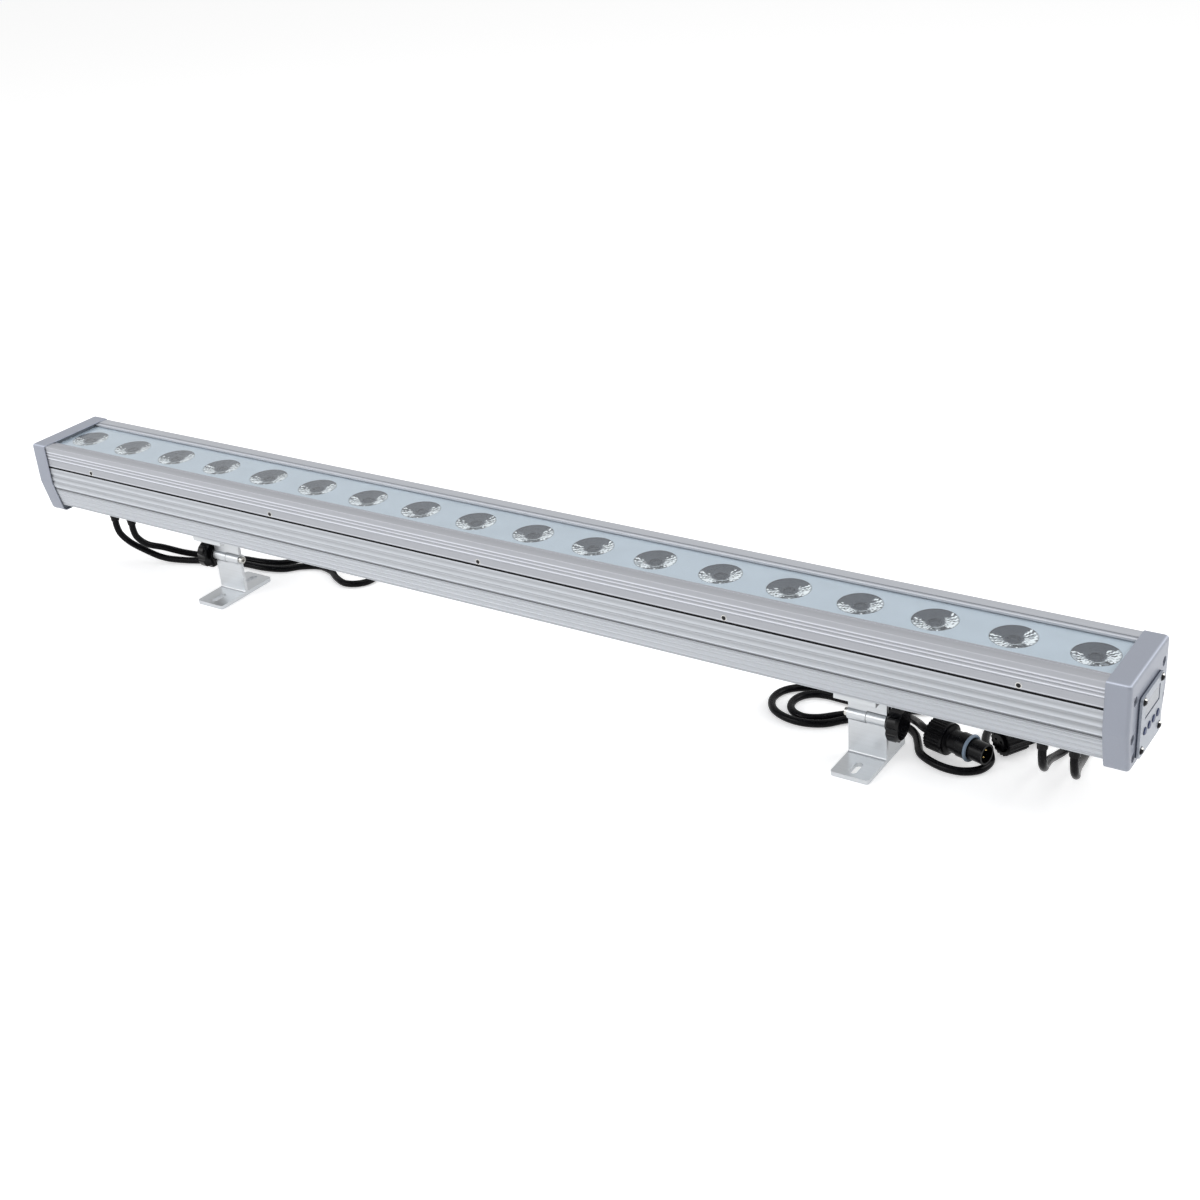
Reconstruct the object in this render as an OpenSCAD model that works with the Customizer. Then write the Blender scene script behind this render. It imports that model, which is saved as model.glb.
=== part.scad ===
// Outdoor wall washer bar: an extruded housing with a row of collimated lights under glass, two cast
// end caps, a control plate on one end, two hinged mounting feet and four waterproof leads.
// X runs along the bar, the front is -Y, and the feet stand on Z = 0.

/* [Bar] */
// Length over the two end caps
bar_len = 1000; // [900:50:1400]
// Width of the housing and rails
bar_w = 73; // [72:0.5:75]
// Height of the top of the rails above the floor
rail_top = 126; // [125.5:0.25:126.2]
// Height of the joint between housing and rails
seam_z = 106.2; // [105:0.2:107]
// Thickness of the black seam strip
seam_t = 1.5; // [1:0.1:2]
// Height of the lower edge of the housing sides
housing_bottom = 67.2; // [66.6:0.1:68]
// Width across the lower edges of the housing
housing_bottom_w = 62; // [60:0.5:64]
// Wall of the extrusions
wall = 3; // [2.4:0.1:3.4]
// Depth of the long flutes in the sides
flute_depth = 0.9; // [0.5:0.1:1.2]
// Depth of the shadow groove under the flutes
shadow_groove = 1.3; // [0.8:0.1:1.6]
// Depth of the fine grooves in the lower sides
fine_groove = 0.6; // [0.3:0.1:0.8]
// Height of the inner shelf that carries the lights
shelf_z = 101.5; // [100:0.5:102]
// Thickness of the inner shelf
shelf_t = 3; // [2:0.5:4]

/* [Guide rail] */
// Width of the guide rail under the housing
guide_w = 40; // [36:1:44]
// Height of the underside of the guide rail
guide_bottom = 61.5; // [61.4:0.1:62]
// Width of the mouth of the guide slot
slot_mouth = 12; // [10:0.5:14]
// Inner width of the guide slot
slot_w = 23; // [20:0.5:26]
// Thickness of the lips beside the slot mouth
slot_lip = 2.5; // [2:0.1:3]
// Height of the roof of the guide slot
slot_roof = 68.2; // [67.8:0.1:68.6]
// Height of the floor of the lower chamber
chamber_floor = 71; // [70.6:0.1:72]

/* [Glass and lights] */
// Thickness of the glass
glass_t = 3; // [2.5:0.1:3.2]
// Drop of the glass below the top of the rails
glass_drop = 2.2; // [1.8:0.1:2.6]
// Width of the glass
glass_w = 56; // [55:0.5:57]
// Width of the ledge under each side of the glass
glass_rest = 4; // [3.5:0.25:5]
// Thickness of the glass gasket
gasket_t = 1.5; // [1.2:0.1:1.8]
// Thickness of the plate round the lenses
mask_t = 1.2; // [0.8:0.1:1.4]
// Distance between two lenses
lens_pitch = 54.7; // [50:0.1:60]
// Diameter of a lens window
window_d = 32; // [28:0.5:34]
// Height of a lens
lens_h = 15; // [12:0.5:15.5]
// Width of the light board
board_w = 42; // [38:1:44]
// Thickness of the light board
board_t = 1.6; // [1:0.2:2]

/* [End caps] */
// Thickness of an end cap
cap_t = 16.6; // [14:0.2:20]
// Width of an end cap
cap_w = 76; // [75.6:0.2:78]
// Width of an end cap at its lower edge
cap_bottom_w = 62.4; // [61.6:0.2:66]
// Height of the top of an end cap
cap_top = 127; // [126.8:0.1:128]
// Height of the underside of an end cap
cap_bottom = 60.5; // [59:0.1:60.8]
// Rounding of the outer edges of a cap
cap_edge = 2.8; // [1:0.2:3.2]
// Depth by which the bar enters a cap
cap_entry = 1.5; // [1:0.1:2.5]
// Thickness of the end gaskets
end_gasket_t = 1.2; // [0.8:0.1:1.6]
// Head diameter of the cap screws
cap_screw_head = 6.4; // [5.6:0.1:7]

/* [Control plate] */
// Width of the control plate
plate_w = 43.4; // [42:0.2:46]
// Height of the control plate
plate_h = 44; // [43:0.5:46]
// Thickness of the control plate
plate_t = 1.6; // [1.2:0.1:2]
// Thickness of the gasket behind the control plate
plate_gasket_t = 1; // [0.6:0.1:1.4]
// Distance between the screws of the control plate
plate_screw_pitch = 35.4; // [34.6:0.2:36]
// Width of the display window
display_w = 29; // [24:0.5:30]
// Height of the display window
display_h = 12; // [10:0.5:12.5]
// Diameter of a key
key_d = 5.2; // [4:0.1:6]
// Distance between two keys
key_pitch = 8.6; // [7.6:0.1:9]
// Travel of a key
key_travel = 0.5; // [0.3:0.1:0.6]

/* [Brackets] */
// Distance of the left foot from its end of the bar
left_foot_in = 187.5; // [184:0.5:200]
// Distance of the right foot from its end of the bar
right_foot_in = 193.5; // [190:0.5:200]
// Width of a foot along the bar
foot_w = 29.6; // [26:0.2:32]
// Depth of a foot across the bar
foot_d = 63.6; // [60:0.2:64]
// Thickness of the base of a foot
foot_t = 3.5; // [3:0.1:4]
// Thickness of the upright web
web_t = 3; // [2.4:0.1:3.4]
// Height of the hinge axis above the floor
hinge_z = 35; // [34:0.2:36]
// Outer diameter of the hinge knuckles
knuckle_d = 9.4; // [8.6:0.1:10]
// Diameter of the hinge bolt
bolt_d = 5; // [4:0.1:5.4]
// Length of a mounting slot
foot_slot_len = 15; // [12:0.5:17]
// Width of a mounting slot
foot_slot_w = 5.6; // [4.4:0.1:6.4]
// Distance between the two mounting slots
foot_slot_pitch = 40; // [38:0.5:42]
// Length of the slide plate along the bar
slide_len = 32; // [30:0.5:36]
// Depth of the slide plate across the bar
slide_d = 44; // [40:0.5:46]
// Thickness of the slide plate
slide_t = 4; // [3:0.2:5]
// Diameter of the clamping knob
knob_d = 27; // [24:0.5:30]
// Thickness of the lobed part of the knob
knob_t = 9; // [7:0.5:11]

/* [Leads] */
// Diameter of the leads
lead_d = 6; // [5.6:0.1:6.4]
// Distance of the outer gland from the end of the bar
gland_in = 45; // [44:0.5:50]
// Distance between the two glands of one end
gland_pitch = 22; // [20:0.5:26]
// Height at which a lead leaves its strain relief
lead_exit_z = 44; // [43:0.5:46]
// Diameter of the clamp nut of a plug
plug_nut_d = 24.4; // [23:0.2:25]
// Diameter of the coupling nut of a socket
coupling_d = 21.6; // [21:0.1:22]

/* [Hidden] */
$fn = 48;

metal = "#c3c8cf";
cast = "#9aa2b0";
black = "#1b1c1f";
steel = "#c9c6be";

// Clearance between parts that slide or turn
fit = 0.3;
// Clearance of the hinge bolt in its bores
bolt_fit = 0.06;
// Clearance of screws in their holes
screw_fit = 0.15;

half_w = bar_w / 2;
opening_w = glass_w - 2 * glass_rest;
cap_x = bar_len / 2 - cap_t;
bar_end = cap_x + cap_entry;
glass_top = rail_top - glass_drop;
glass_bottom = glass_top - glass_t;
ledge_top = glass_bottom - gasket_t;
gasket_end = 3;
mask_top = glass_bottom - 0.2;
mask_w = opening_w - 2 * fit;
lens_d = window_d - 2 * fit;
lens_top = mask_top;
board_top = shelf_z + board_t;
holder_wall = 1.3;
lens_ends = 2 * (window_d / 2 + 2);
lens_count = floor((2 * cap_x - lens_ends) / lens_pitch) + 1;
lens_start = -(lens_count - 1) * lens_pitch / 2;

// Steps on the rail tops and grooves on their faces
lip_w = 9.1;
lip_step = 0.6;
rail_foot = seam_z + seam_t;
rail_groove_drop = [6, 8.7, 11.8];
rail_groove_d = 1;
rail_screw_z = rail_foot + 1.9;
rail_screw_d = 3;
rail_screw_pitch = 214;
rail_screw_count = 5;

// Flutes of the housing sides, from the seam down
flute_w = [8.2, 6, 5.3];
flute_end = seam_z - flute_w[0] - flute_w[1] - flute_w[2];
groove_h = 1;
lower_top = flute_end - groove_h;
lower_inset = 0.8;
// Fine grooves below the shadow groove, as distances from it
fine_drop = [1.6, 3.8, 6.9, 11.3, 15.8];

// The upstand of the housing that each rail slips over
upstand_t = 2.7;
upstand_out = half_w - wall - fit;
upstand_top = ledge_top - 3.3;

// Screw channels of the housing, as [y, z]
channel_r = 3.2;
cap_screw_d = 2.6;
channels = [[28.4, 112], [29.6, 85], [25, 69.3]];
cap_screw_len = 18;

// Driver and control board in the lower chamber
driver_x = -170;
driver_len = 180;
driver_w = 42;
driver_h = 22;
driver_foot = 14;
fin_pitch = 20;
circuit_x = 230;
circuit_len = 120;
circuit_w = 42;
circuit_t = 1.6;
pillar_h = 6;
pillar_in = 10;
seat = 0.1;

plate_z = 88.3;
plate_screw_z = plate_z + 0.8;
window_z = 98.3;
key_z = 83.2;
plate_back = bar_len / 2 + plate_gasket_t;
plate_front = plate_back + plate_t;
panel_pocket = 9;
key_rim = 0.5;
panel_half = 1.5 * key_pitch + key_d / 2 + key_rim + 0.3;

left_foot_x = left_foot_in - bar_len / 2;
right_foot_x = bar_len / 2 - right_foot_in;
knuckle_r = knuckle_d / 2;
slide_top = guide_bottom - fit;
slide_bottom = slide_top - slide_t;
knob_gap = 0.6;
hub_len = 3;
hub_d = 13;

// The leads are drawn for a bar of this length, and move with the ends of a longer or shorter one
drawn_len = 1000;
end_shift = (bar_len - drawn_len) / 2;
// Straight length of a lead where it leaves a gland or enters a connector
straight = 5;

// Heights of the axes: a plug lies on the floor or with its nose on a lead, a socket on its nut
nose_r = 7.7;
plug_z = plug_nut_d / 2 + 0.1;
lifted_z = lead_d + nose_r + 0.1;
socket_z = coupling_d / 2 + 0.1;

// Where each connector starts, and where it points, in degrees from +X
power_in_end = [341 + end_shift, 32.4, lifted_z];
power_in_yaw = -14;
signal_out_end = [407 + end_shift, 80, socket_z];
signal_out_yaw = 240;
power_out_end = [-240 - end_shift, 90, socket_z];
power_out_yaw = 180;
signal_in_end = [-256 - end_shift, 118.4, plug_z];
signal_in_yaw = 0;

// A whole route: out of gland k of one end, along the points, and into its connector
function route(side, k, points, end, yaw) =
  let (x = side * (bar_len / 2 - gland_in - k * gland_pitch))
  concat([[x, 0, lead_exit_z], [x, 0, lead_exit_z - straight]],
    [for (q = points) q + [side * end_shift, 0, 0]],
    [end - straight * [cos(yaw), sin(yaw), 0], end]);

// Power in: back under the bar, left, round in a turn, and forward again to the plug
power_in_route = route(1, 1, [[432.7, 2.6, 30.2], [431.5, 9.6, 23], [428.5, 21, 17.5],
  [425.5, 38, 11.5], [425, 53, 6], [426.5, 67, 3.2], [428, 84, 3], [424, 103, 3], [411, 117.5, 3],
  [392, 121, 3], [368, 114, 3], [347, 98, 3], [328, 80, 3], [306, 68.5, 3], [284, 63, 3], [260, 62, 3],
  [242, 62, 3], [233, 59.6, 3], [226.4, 53, 3], [224, 44, 3], [226.4, 35, 3], [233, 28.6, 3],
  [242, 26.4, 3], [252, 30, 3], [262, 38.5, 3], [272, 46.8, 3], [284, 53.6, 3], [299, 58, 3.2],
  [313, 55, 5.6], [325.4, 44, 10.6], [331, 37.4, 13]],
  power_in_end, power_in_yaw);
// Signal out: the same way outside the power lead, then past its plug and round to the socket
signal_out_route = route(1, 0, [[454.8, 2.6, 30.2], [453.6, 9.6, 23], [450, 21, 17.5], [446, 36, 12],
  [443, 52, 6.5], [441, 67, 3.4], [440, 84, 3], [436, 105, 3], [425, 121.5, 3], [407, 129.5, 3],
  [386, 129, 3], [361, 121, 3], [340, 103.5, 3], [321, 84.5, 3], [302, 76.5, 3], [280, 70.5, 3],
  [255, 69, 3], [235, 69, 3], [219, 63.5, 3], [210, 53.5, 3], [208.5, 40, 3], [216, 27, 3],
  [230, 19.8, 3], [246, 19.2, 3], [260, 25, 3], [271, 36.6, 3], [282, 43.6, 3], [296, 46.6, 3],
  [308, 47.8, 3], [317.5, 45.6, 3], [325.6, 39, 3], [331.4, 29.6, 3], [338, 18.5, 3], [349, 11.6, 3],
  [362, 8.2, 3], [374, 9.6, 3], [383.5, 17, 3], [386, 29, 3], [381.5, 40, 3], [373.5, 51.5, 3],
  [369.3, 66, 3], [370, 80, 3], [374, 93.8, 3], [376.5, 103.3, 3], [383.5, 110.3, 3], [393, 112.8, 3],
  [402.5, 110.3, 3.6], [409.5, 103.3, 5.4], [412, 93.8, 8.2]],
  signal_out_end, signal_out_yaw);
// Power out: right behind the left foot, then a loop towards the front
power_out_route = route(-1, 0, [[-454.1, 1.6, 30.2], [-448.5, 5.8, 20.6], [-436, 11.5, 12],
  [-419, 17, 5.2], [-397, 25.5, 3], [-370, 36, 3], [-344, 42.4, 3], [-316, 44.8, 3], [-299, 50.5, 3],
  [-288, 61, 3], [-272, 68.5, 3], [-256, 65.5, 3], [-241, 56.6, 3], [-228, 52, 3], [-218.5, 54.5, 3],
  [-211.5, 61.5, 3], [-209, 71, 3.6], [-211.5, 80.5, 5.4], [-218.5, 87.5, 8.2], [-228, 90, 10.4]],
  power_out_end, power_out_yaw);
// Signal in: over the power lead, right behind the left foot, then back behind the bar
signal_in_route = route(-1, 1, [[-432.5, 2, 30.4], [-429, 9, 20.8], [-421, 21, 13.6], [-406, 32, 6.4],
  [-380, 42.5, 3], [-352, 50, 3], [-326, 54, 3], [-307, 61, 3], [-298.5, 75, 3], [-295, 92, 3.4],
  [-287, 107, 6], [-273, 116.5, 10.5]],
  signal_in_end, signal_in_yaw);

// Points on an arc round c, from angle a to angle b
function arc(c, r, a, b, n = 6) =
  [for (i = [0:n]) c + r * [cos(a + (b - a) * i / n), sin(a + (b - a) * i / n)]];
function mirrored(p) = [for (i = [len(p) - 1:-1:0]) [-p[i][0], p[i][1]]];
function unit(v) = v / norm(v);

// The right half of a cap outline shrunk by i, clockwise from the top
function cap_half(i) =
  let (
    w = cap_w / 2 - i, b = cap_bottom_w / 2 - i, top = cap_top - i, low = cap_bottom + i,
    bend = cap_top - 36, lean = atan((w - b) / (bend - low)), rt = max(2.6 - i, 0.4),
    rb = max(5 - i, 0.8), cx = b + (rb * sin(lean) - rb) / cos(lean)
  )
  concat(arc([w - rt, top - rt], rt, 90, 0), [[w, bend]], arc([cx, low + rb], rb, -lean, -90));
function cap_outline(i) = concat(cap_half(i), mirrored(cap_half(i)));

// Runs a section drawn as [y, z] along the bar from x0 to x1
module run(x0, x1) {
  translate([x0, 0, 0]) rotate([90, 0, 90]) linear_extrude(x1 - x0) children();
}

module both_sides() {
  children();
  mirror([1, 0]) children();
}

module band(half, low, high) {
  translate([-half, low]) square([2 * half, high - low]);
}

// Housing section. Flute i is a shallow arc that bulges to the full width of the bar
function flute_top(i) = i == 0 ? seam_z : flute_top(i - 1) - flute_w[i - 1];
function flute(i) =
  let (h = flute_w[i] / 2, r = (h * h + flute_depth * flute_depth) / (2 * flute_depth), a = asin(h / r))
  arc([half_w - r, flute_top(i) - h], r, a, -a);

// Half width of the lower sides at a distance d below the shadow groove, and a fine V groove there
lower_slope = (half_w - lower_inset - housing_bottom_w / 2) / (lower_top - housing_bottom);
function lower_y(d) = half_w - lower_inset - d * lower_slope;
function fine_cut(d) = [[lower_y(d - fine_groove), lower_top - d + fine_groove],
  [lower_y(d) - fine_groove, lower_top - d], [lower_y(d + fine_groove), lower_top - d - fine_groove]];

// Outline of the +Y half, from the middle of the shelf outwards and down to the guide slot
outer_half = concat(
  [[0, shelf_z], [upstand_out - upstand_t, shelf_z],
    [upstand_out - upstand_t, channels[0][1] - channel_r],
    [channels[0][0] - channel_r, channels[0][1] - channel_r],
    [channels[0][0] - channel_r, upstand_top], [upstand_out, upstand_top], [upstand_out, seam_z]],
  flute(0), flute(1), flute(2),
  [[half_w - shadow_groove, flute_end], [half_w - shadow_groove, lower_top], [lower_y(0), lower_top]],
  [for (d = fine_drop) each fine_cut(d)],
  [[housing_bottom_w / 2, housing_bottom], [channels[2][0] + channel_r, housing_bottom],
    [channels[2][0] + channel_r, channels[2][1] - channel_r],
    [channels[2][0] - channel_r, channels[2][1] - channel_r],
    [channels[2][0] - channel_r, housing_bottom], [guide_w / 2, housing_bottom],
    [guide_w / 2, guide_bottom], [slot_mouth / 2, guide_bottom],
    [slot_mouth / 2, guide_bottom + slot_lip], [slot_w / 2, guide_bottom + slot_lip],
    [slot_w / 2, slot_roof]]);

// Outline of the +Y half of the lower chamber
inner_top = half_w - wall - flute_depth;
inner_low = housing_bottom_w / 2 - wall;
function inner_y(z) = inner_low + (inner_top - inner_low) * (z - chamber_floor) / (lower_top - chamber_floor);
chamber_half = [[inner_top, shelf_z - shelf_t], [inner_top, channels[1][1] + channel_r],
  [channels[1][0] - channel_r, channels[1][1] + channel_r],
  [channels[1][0] - channel_r, channels[1][1] - channel_r],
  [inner_y(channels[1][1] - channel_r), channels[1][1] - channel_r],
  [inner_y(channels[2][1] + channel_r), channels[2][1] + channel_r],
  [channels[2][0] - channel_r, channels[2][1] + channel_r],
  [channels[2][0] - channel_r, chamber_floor]];

module housing_section() {
  difference() {
    polygon(concat(outer_half, mirrored(outer_half)));
    polygon(concat(chamber_half, mirrored(chamber_half)));
    both_sides() for (c = channels) translate(c) circle(d = cap_screw_d + 2 * screw_fit);
  }
}

module rail_screw_holes(side) {
  for (i = [0:rail_screw_count - 1])
    translate([(i - (rail_screw_count - 1) / 2) * rail_screw_pitch, side * half_w, rail_screw_z])
      rotate([90, 0, 0]) cylinder(d = rail_screw_d + 2 * screw_fit, h = 16, center = true);
}

module gland_holes() {
  for (x = [-1, 1], k = [0, 1])
    translate([x * (bar_len / 2 - gland_in - k * gland_pitch), 0, guide_bottom - 1])
      cylinder(d = 9.4, h = chamber_floor - guide_bottom + 2);
}

module housing() {
  color(metal) difference() {
    run(-bar_end, bar_end) housing_section();
    rail_screw_holes(1);
    rail_screw_holes(-1);
    gland_holes();
  }
}

// Upper rail section, drawn on the +Y side
module rail_section() {
  lip_in = half_w - lip_w;
  open_in = opening_w / 2;
  groove_x = (lip_in + open_in) / 2;
  difference() {
    union() {
      translate([half_w - wall, rail_foot]) square([wall, rail_top - rail_foot]);
      translate([lip_in, glass_top + 0.1]) square([lip_w, rail_top - glass_top - 0.1]);
      translate([open_in, glass_top + 0.1]) square([lip_in - open_in + 1,
        rail_top - lip_step - glass_top - 0.1]);
      translate([open_in + 0.5, ledge_top - 1.6]) square([half_w - open_in - 1.5, 1.6]);
      translate([glass_w / 2 + fit, ledge_top - 1.6])
        square([half_w - glass_w / 2 - 1, rail_top - ledge_top]);
    }
    translate([groove_x, rail_top - lip_step]) circle(0.5, $fn = 24);
    for (d = rail_groove_drop)
      translate([half_w, rail_top - d]) circle(d = rail_groove_d, $fn = 24);
    translate([half_w + 0.4, rail_top + 0.4]) rotate(45) square(1.6, center = true);
  }
}

module rail(side) {
  color(metal) difference() {
    run(-bar_end, bar_end) mirror([side < 0 ? 1 : 0, 0]) rail_section();
    rail_screw_holes(side);
  }
}
module front_rail() { rail(-1); }
module rear_rail() { rail(1); }

module seam_strip(side) {
  inner = upstand_out + 0.1;
  outer = half_w - flute_depth + 0.2;
  color(black) run(-bar_end, bar_end)
    translate([side > 0 ? inner : -outer, seam_z]) square([outer - inner, seam_t]);
}
module front_seam_strip() { seam_strip(-1); }
module rear_seam_strip() { seam_strip(1); }

module rail_screws(side) {
  color(steel) for (i = [0:rail_screw_count - 1])
    translate([(i - (rail_screw_count - 1) / 2) * rail_screw_pitch, side * (half_w - 0.7),
      rail_screw_z]) rotate([side * 90, 0, 0]) difference() {
      cylinder(d = rail_screw_d, h = 5);
      translate([0, 0, -0.1]) cylinder(d = 1.7, h = 1.8, $fn = 6);
    }
}
module front_rail_screws() { rail_screws(-1); }
module rear_rail_screws() { rail_screws(1); }

// Glass and lights
module glass_panel() {
  color([0.75, 0.85, 0.88, 0.4]) run(-bar_end + fit, bar_end - fit)
    band(glass_w / 2, glass_bottom, glass_top);
}

module glass_gasket() {
  len = 2 * (bar_end - fit);
  color(black) translate([0, 0, ledge_top]) linear_extrude(gasket_t) difference() {
    square([len, glass_w - 0.4], center = true);
    square([len - 2 * gasket_end, opening_w + 1.4], center = true);
  }
}

module at_lenses() {
  for (i = [0:lens_count - 1]) translate([lens_start + i * lens_pitch, 0, 0]) children();
}

module lens_plate() {
  color("#b9c6cc") difference() {
    translate([-bar_end + 5, -mask_w / 2, mask_top - mask_t])
      cube([2 * (bar_end - 5), mask_w, mask_t]);
    at_lenses() translate([0, 0, mask_top - mask_t - 1]) cylinder(d = window_d, h = mask_t + 2);
  }
}

// A collimator: flange, bowl that narrows towards the light, well below and dimple above
module lenses() {
  r = lens_d / 2;
  low = lens_top - lens_h;
  bowl = [for (t = [0:0.125:1]) [5 + (r - 6) * pow(t, 0.62), low + (lens_h - 3) * t]];
  color([0.85, 0.88, 0.9, 0.7]) at_lenses() rotate_extrude()
    polygon(concat([[0, low + 5], [3.4, low + 4], [3.6, low]], bowl,
      [[r, lens_top - 2.6], [r, lens_top], [6.5, lens_top], [5.5, lens_top - 3], [0, lens_top - 4]]));
}

module lens_holders() {
  r = window_d / 2 - 0.1;
  top = mask_top - mask_t;
  color("#3a3d44") at_lenses() difference() {
    translate([0, 0, board_top]) cylinder(r = r + holder_wall, h = top - board_top);
    translate([0, 0, board_top + 1.5]) cylinder(r = r, h = top);
    translate([0, 0, board_top - 1]) cylinder(d = 13.6, h = 6);
    for (a = [45:90:315]) rotate(a) translate([r, 0, board_top + 4]) cube([8, 5, 5], center = true);
  }
}

module led_emitters() {
  color("#d9d5c0") at_lenses() translate([0, 0, board_top]) {
    translate([-2.5, -2.5, 0]) cube([5, 5, 0.9]);
    intersection() {
      translate([0, 0, 0.5]) sphere(2.2);
      translate([-3, -3, 0.5]) cube([6, 6, 3]);
    }
  }
}

module led_board() {
  color("#e7e9ea") translate([-bar_end + 6, -board_w / 2, shelf_z])
    cube([2 * (bar_end - 6), board_w, board_t]);
}

// Power driver on the chamber floor, with end flanges
module driver() {
  color("#8d939b") translate([driver_x, 0, chamber_floor + seat]) {
    difference() {
      translate([-driver_len / 2, -driver_w / 2, 0]) cube([driver_len, driver_w, driver_h]);
      for (s = [-1, 1], x = [fin_pitch - driver_len / 2:fin_pitch:driver_len / 2 - fin_pitch / 2])
        translate([x - 3, s * driver_w / 2 - 1, -1]) cube([6, 2, driver_h + 2]);
    }
    for (s = [-1, 1]) translate([s * (driver_len + driver_foot - 4) / 2, 0, 0]) difference() {
      translate([-driver_foot / 2, -driver_w / 2, 0]) cube([driver_foot, driver_w, 2]);
      translate([s * 2, 0, -1]) cylinder(d = 4, h = 4);
    }
  }
}

// Control board on four pillars with its larger components
module control_board() {
  top = pillar_h + circuit_t;
  color("#2c6b4a") translate([circuit_x, 0, chamber_floor + seat]) {
    for (x = [-1, 1], y = [-1, 1])
      translate([x * (circuit_len / 2 - pillar_in), y * (circuit_w / 2 - pillar_in / 2), 0])
        cylinder(d = 5, h = pillar_h);
    translate([-circuit_len / 2, -circuit_w / 2, pillar_h])
      cube([circuit_len, circuit_w, circuit_t]);
    for (x = [-40, -12]) translate([x, 6, top]) cylinder(d = 10, h = 13);
    translate([8, -14, top]) cube([18, 18, 2]);
    translate([38, -12, top]) cube([12, 24, 9]);
  }
}

// End caps, drawn for the right end and mirrored for the left
module cap_screw_places() {
  for (c = channels, s = [-1, 1]) translate([bar_len / 2, s * c[0], c[1]]) rotate([0, -90, 0])
    children();
}

module cap_form() {
  start = bar_len / 2 - cap_edge;
  steps = concat([[cap_x, 0.3], [cap_x + 0.3, 0]],
    [for (a = [0:18:90]) [start + cap_edge * sin(a), cap_edge * (1 - cos(a))]]);
  rings = [for (s = steps) [for (p = cap_outline(s[1])) [s[0], p[0], p[1]]]];
  n = len(rings[0]);
  last = (len(rings) - 1) * n;
  walls = [for (i = [0:len(rings) - 2], k = [0:n - 1]) let (a = i * n + k, b = i * n + (k + 1) % n)
    each [[a, b + n, a + n], [a, b, b + n]]];
  ends = [[for (k = [n - 1:-1:0]) k], [for (k = [0:n - 1]) last + k]];
  polyhedron([for (r = rings) each r], concat(walls, ends));
}

module cap_body() {
  rim = 0.8;
  difference() {
    cap_form();
    run(cap_x - 1, bar_end + end_gasket_t) polygon(cap_outline(rim));
    cap_screw_places() translate([0, 0, -1]) {
      cylinder(d = cap_screw_d + 2 * screw_fit, h = cap_t + 2);
      cylinder(d = cap_screw_head + 2 * screw_fit, h = 1.8);
      translate([0, 0, 1.8]) cylinder(d1 = cap_screw_head + 2 * screw_fit,
        d2 = cap_screw_d + 2 * screw_fit, h = 2);
    }
  }
}

module left_end_cap() {
  color(cast) mirror([1, 0, 0]) cap_body();
}

module right_end_cap() {
  color(cast) difference() {
    cap_body();
    run(bar_len / 2 - panel_pocket, bar_len / 2 + 1) band(panel_half + 0.1, 72.6, 105.6);
    for (y = [-1, 1], z = [-1, 1])
      translate([bar_len / 2 + 1, y * plate_screw_pitch / 2, plate_screw_z + z * plate_screw_pitch / 2])
        rotate([0, -90, 0]) cylinder(d = 2.3 + 2 * screw_fit, h = 8);
  }
}

module end_gasket() {
  difference() {
    run(bar_end, bar_end + end_gasket_t) polygon(cap_outline(1.1));
    cap_screw_places() cylinder(d = cap_screw_d + 1, h = 30);
    run(bar_end - 1, bar_end + 5) band(20, 76, 96);
  }
}
module left_end_gasket() { color("#55585c") mirror([1, 0, 0]) end_gasket(); }
module right_end_gasket() { color("#55585c") end_gasket(); }

module cap_screws() {
  cap_screw_places() translate([0, 0, 0.8]) difference() {
    union() {
      cylinder(d1 = cap_screw_head, d2 = cap_screw_d, h = 1.9);
      cylinder(d = cap_screw_d, h = cap_screw_len);
    }
    translate([0, 0, -0.1]) cylinder(d = 2.2, h = 1.2, $fn = 6);
  }
}
module left_cap_screws() { color("#4a4d54") mirror([1, 0, 0]) cap_screws(); }
module right_cap_screws() { color("#4a4d54") cap_screws(); }

// Control plate on the right cap
module plate_outline(r = 3) {
  hw = plate_w / 2;
  hh = plate_h / 2;
  translate([0, plate_z]) polygon(concat(arc([hw - r, hh - r], r, 90, 0), arc([hw - r, r - hh], r, 0, -90),
    arc([r - hw, r - hh], r, -90, -180), arc([r - hw, hh - r], r, 180, 90)));
}

module plate_screw_places() {
  for (y = [-1, 1], z = [-1, 1])
    translate([0, y * plate_screw_pitch / 2, plate_screw_z + z * plate_screw_pitch / 2])
      rotate([0, 90, 0]) children();
}

module key_places() {
  for (i = [0:3]) translate([0, (i - 1.5) * key_pitch, key_z]) rotate([0, 90, 0]) children();
}

module control_plate() {
  color(metal) difference() {
    run(plate_back, plate_front) plate_outline();
    plate_screw_places() translate([0, 0, bar_len / 2]) cylinder(d = 2.9, h = 8);
    key_places() translate([0, 0, bar_len / 2]) cylinder(d = key_d + 2 * fit, h = 8);
    run(plate_back - 1, plate_front + 1) band(display_w / 2 - 1, window_z - display_h / 2 + 1,
      window_z + display_h / 2 - 1);
    run(plate_front - 0.9, plate_front + 1) band(display_w / 2, window_z - display_h / 2,
      window_z + display_h / 2);
  }
}

module control_gasket() {
  color("#2c3340") difference() {
    run(bar_len / 2, plate_back) plate_outline();
    run(bar_len / 2 - 1, plate_back + 1) band(panel_half, 72.8, 105.4);
    plate_screw_places() translate([0, 0, bar_len / 2 - 2]) cylinder(d = 2.9, h = 8);
  }
}

module control_screws() {
  color(steel) plate_screw_places() translate([0, 0, plate_front]) {
    translate([0, 0, -9]) cylinder(d = 2.3, h = 9);
    difference() {
      intersection() {
        cylinder(d = 5, h = 1.5);
        translate([0, 0, -2.2]) sphere(3.8);
      }
      for (a = [0, 90]) rotate(a) translate([0, 0, 1.5]) cube([2.6, 0.6, 1.6], center = true);
    }
  }
}

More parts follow.
